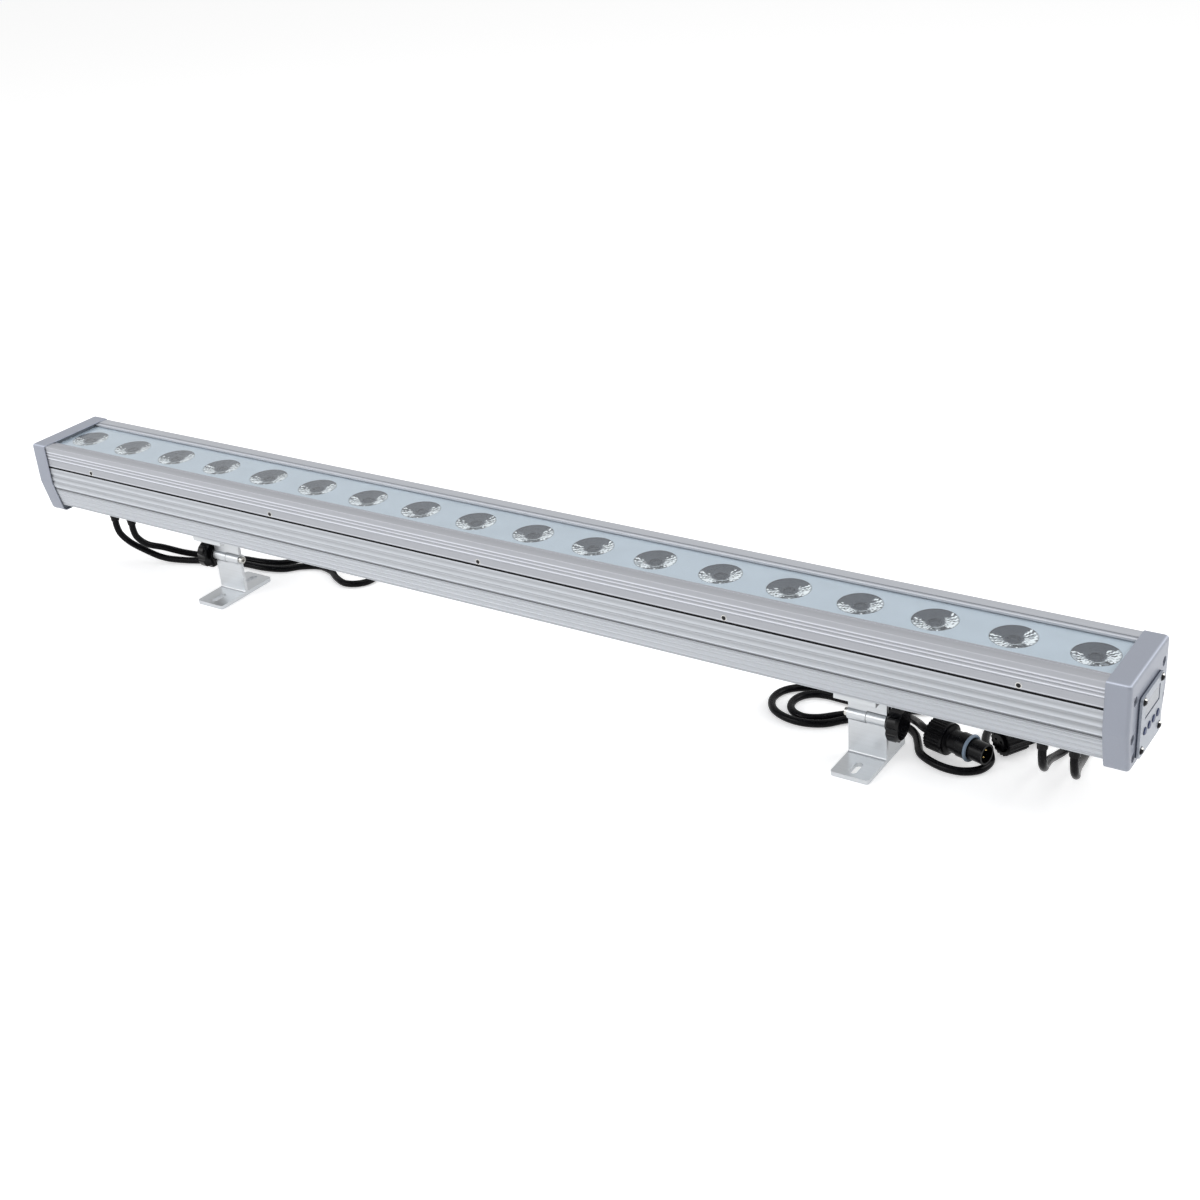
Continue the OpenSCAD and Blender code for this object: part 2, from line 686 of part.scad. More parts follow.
module display_window() {
  color("#a9b0ba") run(plate_front - 0.9, plate_front - 0.3)
    band(display_w / 2 - 0.1, window_z - display_h / 2 + 0.1, window_z + display_h / 2 - 0.1);
}

// Board behind the plate with the display and four key switches
module display_module() {
  base = bar_len / 2 - panel_pocket;
  color("#1f4f3a") {
    run(base + 0.1, base + 2.7) band(panel_half - 0.4, 73, 105.2);
    run(base + 2.6, plate_back - 0.4) band(display_w / 2 - 1.4, window_z - display_h / 2 + 1.4,
      window_z + display_h / 2 - 1.4);
    key_places() translate([0, 0, base + 2.6]) cylinder(d = 3.2, h = panel_pocket - 2.6 - 1.9);
  }
}

module key(i) {
  color("#3a4664") translate([0, (i - 2.5) * key_pitch, key_z]) rotate([0, 90, 0]) {
    translate([0, 0, plate_back - 1.2]) cylinder(d = key_d + 2 * key_rim, h = 1);
    translate([0, 0, plate_back - 0.3]) cylinder(d = key_d, h = plate_t + 0.8);
    translate([0, 0, plate_front + 0.4]) cylinder(d1 = key_d, d2 = key_d - 1, h = 0.4);
    translate([0, 0, plate_back - 2.3]) cylinder(d = 2.6, h = 1.2);
  }
}
module key_1() { key(1); }
module key_2() { key(2); }
module key_3() { key(3); }
module key_4() { key(4); }

// Brackets: the slide plate hangs in the guide slot and carries one knuckle of the hinge
module slide_section() {
  head = slot_w / 2 - 2 * fit;
  band(head, guide_bottom + slot_lip + fit, slot_roof - fit);
  band(slot_mouth / 2 - fit, slide_bottom, slot_roof - 2);
  difference() {
    band(slide_d / 2, slide_bottom, slide_top);
    both_sides() translate([slide_d / 2 + 0.4, slide_bottom - 0.4]) rotate(45)
      square(1.8, center = true);
  }
}

module slide_plate(x) {
  split = x - 0.4;
  tab_low = hinge_z + knuckle_r + 0.4;
  color(metal) difference() {
    union() {
      run(x - slide_len / 2, x + slide_len / 2) slide_section();
      run(x - foot_w / 2, x + foot_w / 2) {
        band(web_t / 2, tab_low, slide_bottom + 1);
        both_sides() difference() {
          translate([web_t / 2 - 0.1, slide_bottom - 2]) square([2.1, 2.1]);
          translate([web_t / 2 + 2, slide_bottom - 2]) circle(2);
        }
      }
      run(x - foot_w / 2, split) {
        translate([0, hinge_z]) circle(knuckle_r);
        band(web_t / 2, hinge_z, slide_bottom);
      }
    }
    translate([x - foot_w, 0, hinge_z]) rotate([0, 90, 0])
      cylinder(d = bolt_d + 2 * bolt_fit, h = 2 * foot_w);
    plate_screw_place(x) cylinder(d = 4 + 2 * screw_fit, h = 30, center = true);
  }
}
module left_slide_plate() { slide_plate(left_foot_x); }
module right_slide_plate() { slide_plate(right_foot_x); }

module plate_screw_place(x) {
  translate([x + slide_len / 2 - 4, -slide_d / 2 + 5, slide_bottom]) children();
}

// Grub screw that clamps the slide plate against the guide rail
module plate_screw(x) {
  color(steel) plate_screw_place(x) translate([0, 0, 0.4]) difference() {
    cylinder(d = 4, h = slide_t - 0.4 + fit / 3);
    translate([0, 0, -0.1]) cylinder(d = 2.2, h = 1.6, $fn = 6);
  }
}
module left_plate_screw() { plate_screw(left_foot_x); }
module right_plate_screw() { plate_screw(right_foot_x); }

module foot_section(top) {
  band(foot_d / 2, 0, foot_t);
  band(web_t / 2, 0, top);
  both_sides() difference() {
    translate([web_t / 2 - 0.1, foot_t - 0.1]) square([1.7, 1.7]);
    translate([web_t / 2 + 1.6, foot_t + 1.6]) circle(1.6);
  }
}

module foot_slot(y) {
  travel = foot_slot_len - foot_slot_w;
  translate([0, y, -1]) {
    for (s = [-1, 1]) translate([0, s * travel / 2, 0]) cylinder(d = foot_slot_w, h = foot_t + 2);
    translate([-foot_slot_w / 2, -travel / 2, 0]) cube([foot_slot_w, travel, foot_t + 2]);
  }
}

module foot_corner(sx, sy) {
  r = 2.5;
  translate([sx * foot_w / 2, sy * foot_d / 2, -1]) difference() {
    translate([-r, -r, 0]) cube([2 * r, 2 * r, foot_t + 2]);
    translate([-sx * r, -sy * r, -1]) cylinder(r = r, h = foot_t + 4);
  }
}

module foot(x) {
  color(metal) difference() {
    union() {
      run(x - foot_w / 2, x + foot_w / 2) foot_section(hinge_z - knuckle_r - 0.4);
      run(x, x + foot_w / 2) {
        translate([0, hinge_z]) circle(knuckle_r);
        band(web_t / 2, foot_t, hinge_z);
      }
    }
    translate([x - foot_w, 0, hinge_z]) rotate([0, 90, 0])
      cylinder(d = bolt_d + 2 * bolt_fit, h = 2 * foot_w);
    translate([x, 0, 0]) {
      for (s = [-1, 1]) foot_slot(s * foot_slot_pitch / 2);
      for (sx = [-1, 1], sy = [-1, 1]) foot_corner(sx, sy);
    }
  }
}
module left_foot() { foot(left_foot_x); }
module right_foot() { foot(right_foot_x); }

// Hinge bolt with a socket head; side +1 puts the knob end towards +X
module hinge_bolt(x, side) {
  color(steel) translate([x, 0, hinge_z]) rotate([0, side * 90, 0]) {
    translate([0, 0, -foot_w / 2 - 0.1]) cylinder(d = bolt_d, h = foot_w + knob_gap + 8);
    difference() {
      translate([0, 0, -foot_w / 2 - 2.7]) cylinder(d1 = 6, d2 = 7, h = 2.6);
      translate([0, 0, -foot_w / 2 - 3]) cylinder(d = 3.4, h = 2, $fn = 6);
    }
  }
}
module left_hinge_bolt() { hinge_bolt(left_foot_x, -1); }
module right_hinge_bolt() { hinge_bolt(right_foot_x, 1); }

// Six-lobed clamping knob with a hub towards the hinge and a domed outer face
module knob(x, side) {
  lobes = 6;
  notch = 9;
  color(black) translate([x, 0, hinge_z]) rotate([0, side * 90, 0])
    translate([0, 0, foot_w / 2 + knob_gap]) difference() {
      union() {
        cylinder(d = hub_d, h = hub_len);
        translate([0, 0, hub_len]) cylinder(d1 = knob_d - 2, d2 = knob_d, h = 1);
        translate([0, 0, hub_len + 1]) cylinder(d = knob_d, h = knob_t - 3);
        translate([0, 0, hub_len + knob_t - 2]) cylinder(d1 = knob_d, d2 = knob_d - 5, h = 2);
      }
      for (a = [0:360 / lobes:359]) rotate(a + 30) translate([knob_d / 2 + notch / 4, 0, hub_len - 1])
        cylinder(d = notch, h = knob_t + 3);
      translate([0, 0, -1]) cylinder(d = bolt_d + 2 * bolt_fit, h = 10.5);
    }
}
module left_knob() { knob(left_foot_x, -1); }
module right_knob() { knob(right_foot_x, 1); }

// Cable gland with a hexagon, a domed nut and a tapered strain relief
module gland(side, k) {
  x = side * (bar_len / 2 - gland_in - k * gland_pitch);
  neck = guide_bottom - 6.4;
  color(black) translate([x, 0, 0]) rotate_extrude() polygon([[0, lead_exit_z], [3.7, lead_exit_z],
    [3.9, lead_exit_z + 3], [5.2, neck], [7, neck + 1.2], [7.6, neck + 2.6], [7.6, guide_bottom - 2.6],
    [8.6, guide_bottom - 2.4], [8.6, guide_bottom], [4.5, guide_bottom], [4.5, chamber_floor + 1],
    [0, chamber_floor + 1]]);
}
module power_in_gland() { gland(1, 1); }
module signal_out_gland() { gland(1, 0); }
module power_out_gland() { gland(-1, 0); }
module signal_in_gland() { gland(-1, 1); }

// A round tube swept along points, with its ends square to the route
function heading(p, i) = unit(p[min(i + 1, len(p) - 1)] - p[max(i - 1, 0)]);
function side_of(p, i) =
  i == 0 ? unit(cross(heading(p, 0), [1, 0.2, 0]))
    : let (t = heading(p, i), s = side_of(p, i - 1)) unit(s - (s * t) * t);
module tube(p, d, n = 8) {
  rings = [for (i = [0:len(p) - 1]) let (t = heading(p, i), s = side_of(p, i), u = cross(t, s))
    for (k = [0:n - 1]) p[i] + d / 2 * (cos(360 * k / n) * s + sin(360 * k / n) * u)];
  last = (len(p) - 1) * n;
  walls = [for (i = [0:len(p) - 2], k = [0:n - 1]) let (a = i * n + k, b = i * n + (k + 1) % n)
    each [[a, a + n, b + n], [a, b + n, b]]];
  ends = [for (k = [1:n - 2]) each [[0, k, k + 1], [last, last + k + 1, last + k]]];
  color(black) polyhedron(rings, concat(walls, ends));
}
module power_in_lead() { tube(power_in_route, lead_d); }
module signal_out_lead() { tube(signal_out_route, lead_d); }
module power_out_lead() { tube(power_out_route, lead_d); }
module signal_in_lead() { tube(signal_in_route, lead_d); }

// Connectors lie on the floor; each is drawn upright with the lead entering at Z = 0
module laid(end, yaw) {
  translate(end) rotate([0, 0, yaw]) rotate([0, 90, 0]) children();
}

// Ring with longitudinal ribs
module ribbed(d, h, count = 24, depth = 0.7) {
  linear_extrude(h) polygon([for (i = [0:4 * count - 1])
    let (r = d / 2 - (i % 4 < 2 ? 0 : depth), a = 90 * i / count) r * [cos(a), sin(a)]]);
}

module plug_form() {
  nut = plug_nut_d / 2;
  rotate_extrude() polygon([[0, 0], [5.4, 0], [nut - 1.4, 1.2], [nut - 1.4, 17], [8.4, 18],
    [8.4, 25], [9.2, 25.6], [9.2, 32.4], [nose_r, 32.4], [nose_r, 47], [nose_r - 1.4, 47],
    [nose_r - 1.4, 39], [0, 39]]);
  translate([0, 0, 1]) ribbed(plug_nut_d, 13, 30, 0.6);
  translate([0, 0, 13.9]) cylinder(d = plug_nut_d - 0.4, h = 2);
}

module plug(end, yaw) {
  color(black) laid(end, yaw) plug_form();
}

module plug_seal(end, yaw) {
  color("#7e8ca0") laid(end, yaw) translate([0, 0, 32.5]) rotate_extrude()
    translate([nose_r + 1.3, 1.4]) circle(1.25, $fn = 20);
}

module plug_pins(end, yaw) {
  color("#c9a552") laid(end, yaw) for (a = [0:120:240]) rotate(a) translate([3.2, 0, 39.05]) {
    cylinder(d = 1.6, h = 5);
    translate([0, 0, 5]) cylinder(d1 = 1.6, d2 = 0.8, h = 0.6);
  }
}

module socket(end, yaw) {
  color(black) laid(end, yaw) difference() {
    union() {
      rotate_extrude() polygon([[0, 0], [3.8, 0], [5, 3], [8.4, 5], [8.4, 18], [6.8, 18], [6.8, 24],
        [7.6, 24.4], [7.6, 27], [6.2, 27], [6.2, 42], [0, 42]]);
      translate([0, 0, 4.8]) ribbed(18.4, 13);
    }
    for (a = [0:120:240]) rotate(a) translate([3.2, 0, 34]) cylinder(d = 2.2, h = 9);
  }
}

// Loose coupling nut that turns on a socket
module coupling_nut(end, yaw) {
  color(black) laid(end, yaw) translate([0, 0, 22]) difference() {
    union() {
      ribbed(coupling_d, 18, 20, 0.8);
      translate([0, 0, -1.4]) cylinder(d1 = coupling_d - 4, d2 = coupling_d - 1.6, h = 1.5);
    }
    translate([0, 0, -2]) cylinder(d = 13.6 + 2 * fit, h = 4);
    translate([0, 0, 1.7]) cylinder(d = 15.2 + 2 * fit, h = 20);
  }
}

module power_in_plug() { plug(power_in_end, power_in_yaw); }
module power_in_seal() { plug_seal(power_in_end, power_in_yaw); }
module power_in_pins() { plug_pins(power_in_end, power_in_yaw); }
module signal_in_plug() { plug(signal_in_end, signal_in_yaw); }
module signal_in_seal() { plug_seal(signal_in_end, signal_in_yaw); }
module signal_in_pins() { plug_pins(signal_in_end, signal_in_yaw); }
module power_out_socket() { socket(power_out_end, power_out_yaw); }
module power_out_nut() { coupling_nut(power_out_end, power_out_yaw); }
module signal_out_socket() { socket(signal_out_end, signal_out_yaw); }
module signal_out_nut() { coupling_nut(signal_out_end, signal_out_yaw); }

housing();
front_rail();
rear_rail();
front_seam_strip();
rear_seam_strip();
glass_panel();
glass_gasket();
lens_plate();
lenses();
lens_holders();
led_emitters();
led_board();
driver();
control_board();
left_end_cap();
right_end_cap();
left_end_gasket();
right_end_gasket();
left_cap_screws();
right_cap_screws();
front_rail_screws();
rear_rail_screws();
control_plate();
control_gasket();
control_screws();
display_window();
display_module();
key_1();
key_2();
key_3();
key_4();
left_slide_plate();
right_slide_plate();
left_foot();
right_foot();
left_hinge_bolt();
right_hinge_bolt();
left_knob();
right_knob();
left_plate_screw();
right_plate_screw();
power_in_gland();
signal_out_gland();
power_out_gland();
signal_in_gland();
power_in_lead();
signal_out_lead();
power_out_lead();
signal_in_lead();
power_in_plug();
power_in_seal();
power_in_pins();
signal_in_plug();
signal_in_seal();
signal_in_pins();
power_out_socket();
power_out_nut();
signal_out_socket();
signal_out_nut();
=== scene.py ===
"""Looks of an outdoor wall washer bar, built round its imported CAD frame. Metres throughout."""

import math

import bmesh
import bpy
from mathutils import Matrix, Vector


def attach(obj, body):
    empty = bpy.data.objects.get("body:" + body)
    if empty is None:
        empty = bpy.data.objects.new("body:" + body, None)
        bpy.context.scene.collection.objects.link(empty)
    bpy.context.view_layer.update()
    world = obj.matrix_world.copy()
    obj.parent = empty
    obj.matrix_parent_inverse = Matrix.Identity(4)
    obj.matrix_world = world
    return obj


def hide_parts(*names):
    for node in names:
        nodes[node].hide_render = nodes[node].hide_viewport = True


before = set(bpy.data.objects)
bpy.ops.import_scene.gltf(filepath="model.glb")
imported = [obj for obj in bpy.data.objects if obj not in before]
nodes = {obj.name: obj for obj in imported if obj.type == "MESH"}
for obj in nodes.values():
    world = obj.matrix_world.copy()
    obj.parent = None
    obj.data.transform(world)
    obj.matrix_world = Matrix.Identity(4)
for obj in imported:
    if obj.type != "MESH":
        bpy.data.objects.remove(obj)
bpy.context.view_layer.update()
MM = 0.001
# The middle of a noise texture's range, where nearly all its values lie
NOISE_LOW, NOISE_HIGH = 0.3, 0.7
NOISE_ROUGHNESS = 0.55
# A grain that runs in no direction
EVEN = (1, 1, 1)

# ---------------------------------------------------------------- materials


def new_material(name):
    m = bpy.data.materials.new(name)
    m.use_nodes = True
    tree = m.node_tree
    return m, tree, tree.nodes["Principled BSDF"]


def grain(tree, stretch, scale, detail=3.0):
    """Noise in the piece's own coordinates, stretched along some of its axes."""
    coord = tree.nodes.new("ShaderNodeTexCoord")
    mapping = tree.nodes.new("ShaderNodeMapping")
    mapping.inputs["Scale"].default_value = stretch
    noise = tree.nodes.new("ShaderNodeTexNoise")
    noise.inputs["Scale"].default_value = scale
    noise.inputs["Detail"].default_value = detail
    noise.inputs["Roughness"].default_value = NOISE_ROUGHNESS
    tree.links.new(coord.outputs["Object"], mapping.inputs["Vector"])
    tree.links.new(mapping.outputs["Vector"], noise.inputs["Vector"])
    return noise.outputs["Fac"]


def spread(tree, value, low, high):
    """The value's middle range mapped to low..high."""
    node = tree.nodes.new("ShaderNodeMapRange")
    node.inputs["From Min"].default_value = NOISE_LOW
    node.inputs["From Max"].default_value = NOISE_HIGH
    node.inputs["To Min"].default_value = low
    node.inputs["To Max"].default_value = high
    tree.links.new(value, node.inputs["Value"])
    return node.outputs["Result"]


def tint(tree, value, dark, light):
    ramp = tree.nodes.new("ShaderNodeValToRGB")
    ramp.color_ramp.elements[0].position = NOISE_LOW
    ramp.color_ramp.elements[1].position = NOISE_HIGH
    ramp.color_ramp.elements[0].color = (*dark, 1)
    ramp.color_ramp.elements[1].color = (*light, 1)
    tree.links.new(value, ramp.inputs["Fac"])
    return ramp.outputs["Color"]


def bump(tree, shader, value, strength, distance):
    node = tree.nodes.new("ShaderNodeBump")
    node.inputs["Strength"].default_value = strength
    node.inputs["Distance"].default_value = distance
    tree.links.new(value, node.inputs["Height"])
    tree.links.new(node.outputs["Normal"], shader.inputs["Normal"])


def shade_and_highlight_lines(tree, color, lines, axis="Z"):
    """The colour with soft lines across one axis, each (millimetres, half width, factor): painted
    shade where the factor is below 1, painted highlight where it is above.
    """
    top = max(1, *(factor for _, _, factor in lines))
    stops = [(lines[0][0] - lines[0][1] - 1, 1)]
    for place, half, factor in lines:
        stops += [(place - half, 1), (place, factor), (place + half, 1)]
    low, high = stops[0][0], stops[-1][0]
    coord = tree.nodes.new("ShaderNodeTexCoord")
    axes = tree.nodes.new("ShaderNodeSeparateXYZ")
    tree.links.new(coord.outputs["Object"], axes.inputs["Vector"])
    reach = tree.nodes.new("ShaderNodeMapRange")
    reach.inputs["From Min"].default_value = low * MM
    reach.inputs["From Max"].default_value = high * MM
    tree.links.new(axes.outputs[axis], reach.inputs["Value"])
    ramp = tree.nodes.new("ShaderNodeValToRGB")
    elements = ramp.color_ramp.elements
    while len(elements) < len(stops):
        elements.new(0.5)
    for element, (place, factor) in zip(elements, stops):
        element.position = (place - low) / (high - low)
        element.color = (factor / top, factor / top, factor / top, 1)
    tree.links.new(reach.outputs["Result"], ramp.inputs["Fac"])
    scaled = tree.nodes.new("ShaderNodeVectorMath")
    scaled.operation = "SCALE"
    scaled.inputs["Scale"].default_value = top
    tree.links.new(ramp.outputs["Color"], scaled.inputs[0])
    mix = tree.nodes.new("ShaderNodeVectorMath")
    mix.operation = "MULTIPLY"
    tree.links.new(color, mix.inputs[0])
    tree.links.new(scaled.outputs["Vector"], mix.inputs[1])
    return mix.outputs["Vector"]


def surface(name, color, rough, metallic=0.0, stretch=EVEN, scale=400.0, vary=0.06,
            rough_vary=0.06, bumps=0.05, depth=0.0002, coat=0.0, specular=0.5, across=(),
            glow=0.0):
    """A finish whose colour, roughness and relief all follow one grain."""
    m, tree, shader = new_material(name)
    value = grain(tree, stretch, scale)
    dark = [c * (1 - vary) for c in color]
    light = [min(1, c * (1 + vary)) for c in color]
    base = tint(tree, value, dark, light)
    for axis, lines in across:
        base = shade_and_highlight_lines(tree, base, lines, axis)
    tree.links.new(base, shader.inputs["Base Color"])
    tree.links.new(spread(tree, value, rough - rough_vary, rough + rough_vary),
                   shader.inputs["Roughness"])
    shader.inputs["Metallic"].default_value = metallic
    shader.inputs["Specular IOR Level"].default_value = specular
    shader.inputs["Coat Weight"].default_value = coat
    shader.inputs["Emission Color"].default_value = (1, 1, 1, 1)
    shader.inputs["Emission Strength"].default_value = glow
    bump(tree, shader, value, bumps, depth)
    return m


ALONG = (5, 1400, 1400)
# Painted shade and painted highlights on the extrusions: lines where their grooves gather shade or
# their ridges catch the light
FINE_FLUTE_SHADE = [(68.5, 1.2, 0.72), (73.2, 1.2, 0.88), (77.8, 1.2, 0.87), (81.2, 1.1, 0.88),
               (83.6, 0.75, 0.6), (85.2, 1.0, 0.02)]
BROAD_FLUTE_SHADE_AND_HIGHLIGHTS = [(87.3, 1.1, 1.5), (91.2, 1.9, 0.64), (93.8, 1.2, 1.2), (97, 2.0, 0.62),
                (99.9, 1.2, 1.22), (102.8, 1.9, 0.74), (104.9, 0.5, 1.2)]
RIB_HIGHLIGHTS = [(107.9, 0.8, 1.45), (115, 1.0, 2.0), (118.2, 0.85, 1.75), (120.9, 1.0, 1.85),
        (125.7, 0.6, 1.1)]
FRONT_LIP_SHADE = [(-30, 8.0, 0.84)]
REAR_LIP_HIGHLIGHT_AND_SHADE = [(25.2, 1.5, 1.45), (27.5, 0.5, 0.7)]
bar_metal = surface("bar_aluminium", (0.565, 0.59, 0.63), 0.46, 0.35, ALONG, 1, 0.05, 0.05,
                    0.10, 0.00008, across=[("Z", FINE_FLUTE_SHADE), ("Z", BROAD_FLUTE_SHADE_AND_HIGHLIGHTS)])
# The front rail's finish is a darker copy of the rear rail's: painted shade
front_metal = surface("front_rail_aluminium", (0.455, 0.468, 0.505), 0.46, 0.4, ALONG, 1, 0.04,
                      0.05, 0.10, 0.00008, across=[("Z", RIB_HIGHLIGHTS), ("Y", FRONT_LIP_SHADE)])
rear_metal = surface("rear_rail_aluminium", (0.49, 0.508, 0.545), 0.46, 0.4, ALONG, 1, 0.04,
                     0.05, 0.10, 0.00008, across=[("Z", RIB_HIGHLIGHTS), ("Y", REAR_LIP_HIGHLIGHT_AND_SHADE)])
# The bright line near the top of each cap is a painted highlight on its top edge
cap_paint = surface("cap_paint", (0.34, 0.365, 0.43), 0.42, 0.25, EVEN, 2500, 0.08, 0.06,
                    0.10, 0.00006, coat=0.15, across=[("Z", [(126.4, 0.55, 1.75)])])
plate_metal = surface("plate_metal", (0.40, 0.43, 0.48), 0.36, 0.5, (1200, 8, 1200), 1, 0.05,
                      0.05, 0.08, 0.00005)
bracket_metal = surface("bracket_aluminium", (0.60, 0.62, 0.64), 0.34, 0.85, (6, 1200, 1200), 1,
                        0.05, 0.05, 0.10, 0.00006)
steel = surface("screw_steel", (0.56, 0.55, 0.52), 0.24, 1.0, EVEN, 900, 0.10, 0.06, 0.08,
                0.00004)
dark_steel = surface("cap_screw_steel", (0.16, 0.17, 0.21), 0.35, 0.7, EVEN, 900, 0.15,
                     0.06, 0.08, 0.00004)
black_rubber = surface("black_rubber", (0.003, 0.003, 0.004), 0.5, 0, EVEN, 1400, 0.25,
                       0.06, 0.12, 0.00005, specular=0.12)
lead_jacket = surface("lead_jacket", (0.003, 0.003, 0.004), 0.27, 0, EVEN, 900, 0.25, 0.04,
                      0.06, 0.00005, specular=0.1)
grey_rubber = surface("grey_rubber", (0.16, 0.18, 0.21), 0.6, 0, EVEN, 1400, 0.1, 0.05,
                      0.1, 0.00005)
panel_rubber = surface("panel_rubber", (0.03, 0.04, 0.07), 0.55, 0, EVEN, 1400, 0.15, 0.05,
                       0.1, 0.00005)
seal_rubber = surface("seal_rubber", (0.23, 0.30, 0.39), 0.45, 0, EVEN, 1400, 0.08, 0.05,
                      0.08, 0.00004)
black_plastic = surface("black_plastic", (0.0035, 0.0035, 0.0045), 0.3, 0, EVEN, 2200, 0.2,
                        0.06, 0.10, 0.00004, specular=0.14)
knob_plastic = surface("knob_plastic", (0.003, 0.003, 0.004), 0.16, 0, EVEN, 1200, 0.2,
                       0.04, 0.04, 0.00004, specular=0.22)
dark_plastic = surface("holder_plastic", (0.05, 0.055, 0.065), 0.45, 0, EVEN, 2200, 0.1,
                       0.06, 0.08, 0.00004)
lens_panel = surface("lens_panel", (0.595, 0.65, 0.715), 0.5, 0.0, EVEN, 1800, 0.03, 0.05,
                     0.05, 0.00003)
white_board = surface("white_board", (0.75, 0.76, 0.76), 0.4, 0, EVEN, 1800, 0.03, 0.05)
green_board = surface("green_board", (0.02, 0.14, 0.07), 0.4, 0, EVEN, 1800, 0.08, 0.05)
emitter = surface("emitter_phosphor", (0.75, 0.62, 0.22), 0.5, 0, EVEN, 3000, 0.05, 0.05)
gold = surface("gold_pins", (0.78, 0.55, 0.20), 0.22, 1.0, EVEN, 1500, 0.06, 0.05)
key_plastic = surface("key_plastic", (0.035, 0.055, 0.14), 0.4, 0, EVEN, 2200, 0.12, 0.05)
window_plastic = surface("window_plastic", (0.33, 0.36, 0.41), 0.12, 0, EVEN, 300, 0.03,
                         0.02, 0.01)


def clear_glass(name, color, mirror, rough):
    """Clear sheet: what lies under it, tinted, with the reflections of its upper face."""
    m = bpy.data.materials.new(name)
    m.use_nodes = True
    tree = m.node_tree
    tree.nodes.remove(tree.nodes["Principled BSDF"])
    clear = tree.nodes.new("ShaderNodeBsdfTransparent")
    value = grain(tree, EVEN, 60, 2)
    tree.links.new(tint(tree, value, [c * 0.985 for c in color], color), clear.inputs["Color"])
    shine = tree.nodes.new("ShaderNodeBsdfGlossy")
    shine.inputs["Color"].default_value = (1, 1, 1, 1)
    shine.inputs["Roughness"].default_value = rough
    layer = tree.nodes.new("ShaderNodeLayerWeight")
    layer.inputs["Blend"].default_value = 0.5
    power = tree.nodes.new("ShaderNodeMath")
    power.operation = "POWER"
    power.inputs[1].default_value = 5
    tree.links.new(layer.outputs["Facing"], power.inputs[0])
    fresnel = tree.nodes.new("ShaderNodeMapRange")
    fresnel.inputs["To Min"].default_value = mirror
    fresnel.inputs["To Max"].default_value = 0.9
    tree.links.new(power.outputs["Value"], fresnel.inputs["Value"])
    mix = tree.nodes.new("ShaderNodeMixShader")
    tree.links.new(fresnel.outputs["Result"], mix.inputs["Fac"])
    tree.links.new(clear.outputs["BSDF"], mix.inputs[1])
    tree.links.new(shine.outputs["BSDF"], mix.inputs[2])
    tree.links.new(mix.outputs["Shader"], tree.nodes["Material Output"].inputs["Surface"])
    return m


glass = clear_glass("panel_glass", (0.965, 0.985, 0.995), 0.03, 0.03)

# ---------------------------------------------------------------- mesh helpers


def finish(obj, material, body, replaced=(), smooth=True, angle=30):
    obj.data.materials.append(material)
    if obj.type == "MESH":
        for p in obj.data.polygons:
            p.use_smooth = smooth
        if smooth:
            obj.data.set_sharp_from_angle(angle=math.radians(angle))
    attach(obj, body)
    if replaced:
        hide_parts(*replaced)
    return obj


def object_of(name, mesh):
    obj = bpy.data.objects.new(name, mesh)
    bpy.context.scene.collection.objects.link(obj)
    return obj


def built(name, b, face_up=False):
    """The object of a bmesh, with its normals outward, or upward for an open sheet."""
    bmesh.ops.recalc_face_normals(b, faces=b.faces)
    mesh = bpy.data.meshes.new(name)
    b.to_mesh(mesh)
    b.free()
    if face_up and sum(f.normal.z * f.area for f in mesh.polygons) < 0:
        mesh.flip_normals()
    return object_of(name, mesh)


def catmull(points, steps):
    """A smooth curve through points, each an (x, y, z) in millimetres."""
    p = [Vector(q) for q in points]
    p = [2 * p[0] - p[1], *p, 2 * p[-1] - p[-2]]
    out = []
    for i in range(1, len(p) - 2):
        a, b, c, d = p[i - 1:i + 3]
        t1 = (b - a).length ** 0.5
        t2 = t1 + (c - b).length ** 0.5
        t3 = t2 + (d - c).length ** 0.5
        for k in range(steps):
            t = t1 + (t2 - t1) * k / steps
            e = a.lerp(b, t / t1)
            f = b.lerp(c, (t - t1) / (t2 - t1))
            g = c.lerp(d, (t - t2) / (t3 - t2))
            h = e.lerp(f, t / t2)
            j = f.lerp(g, (t - t1) / (t3 - t1))
            out.append(h.lerp(j, (t - t1) / (t2 - t1)))
    out.append(p[-2])
    return out


# ---------------------------------------------------------------- leads

LEAD_D = 6.0
FLOOR_Z = LEAD_D / 2
EXIT_Z = 44.0
STRAIGHT = 5.0
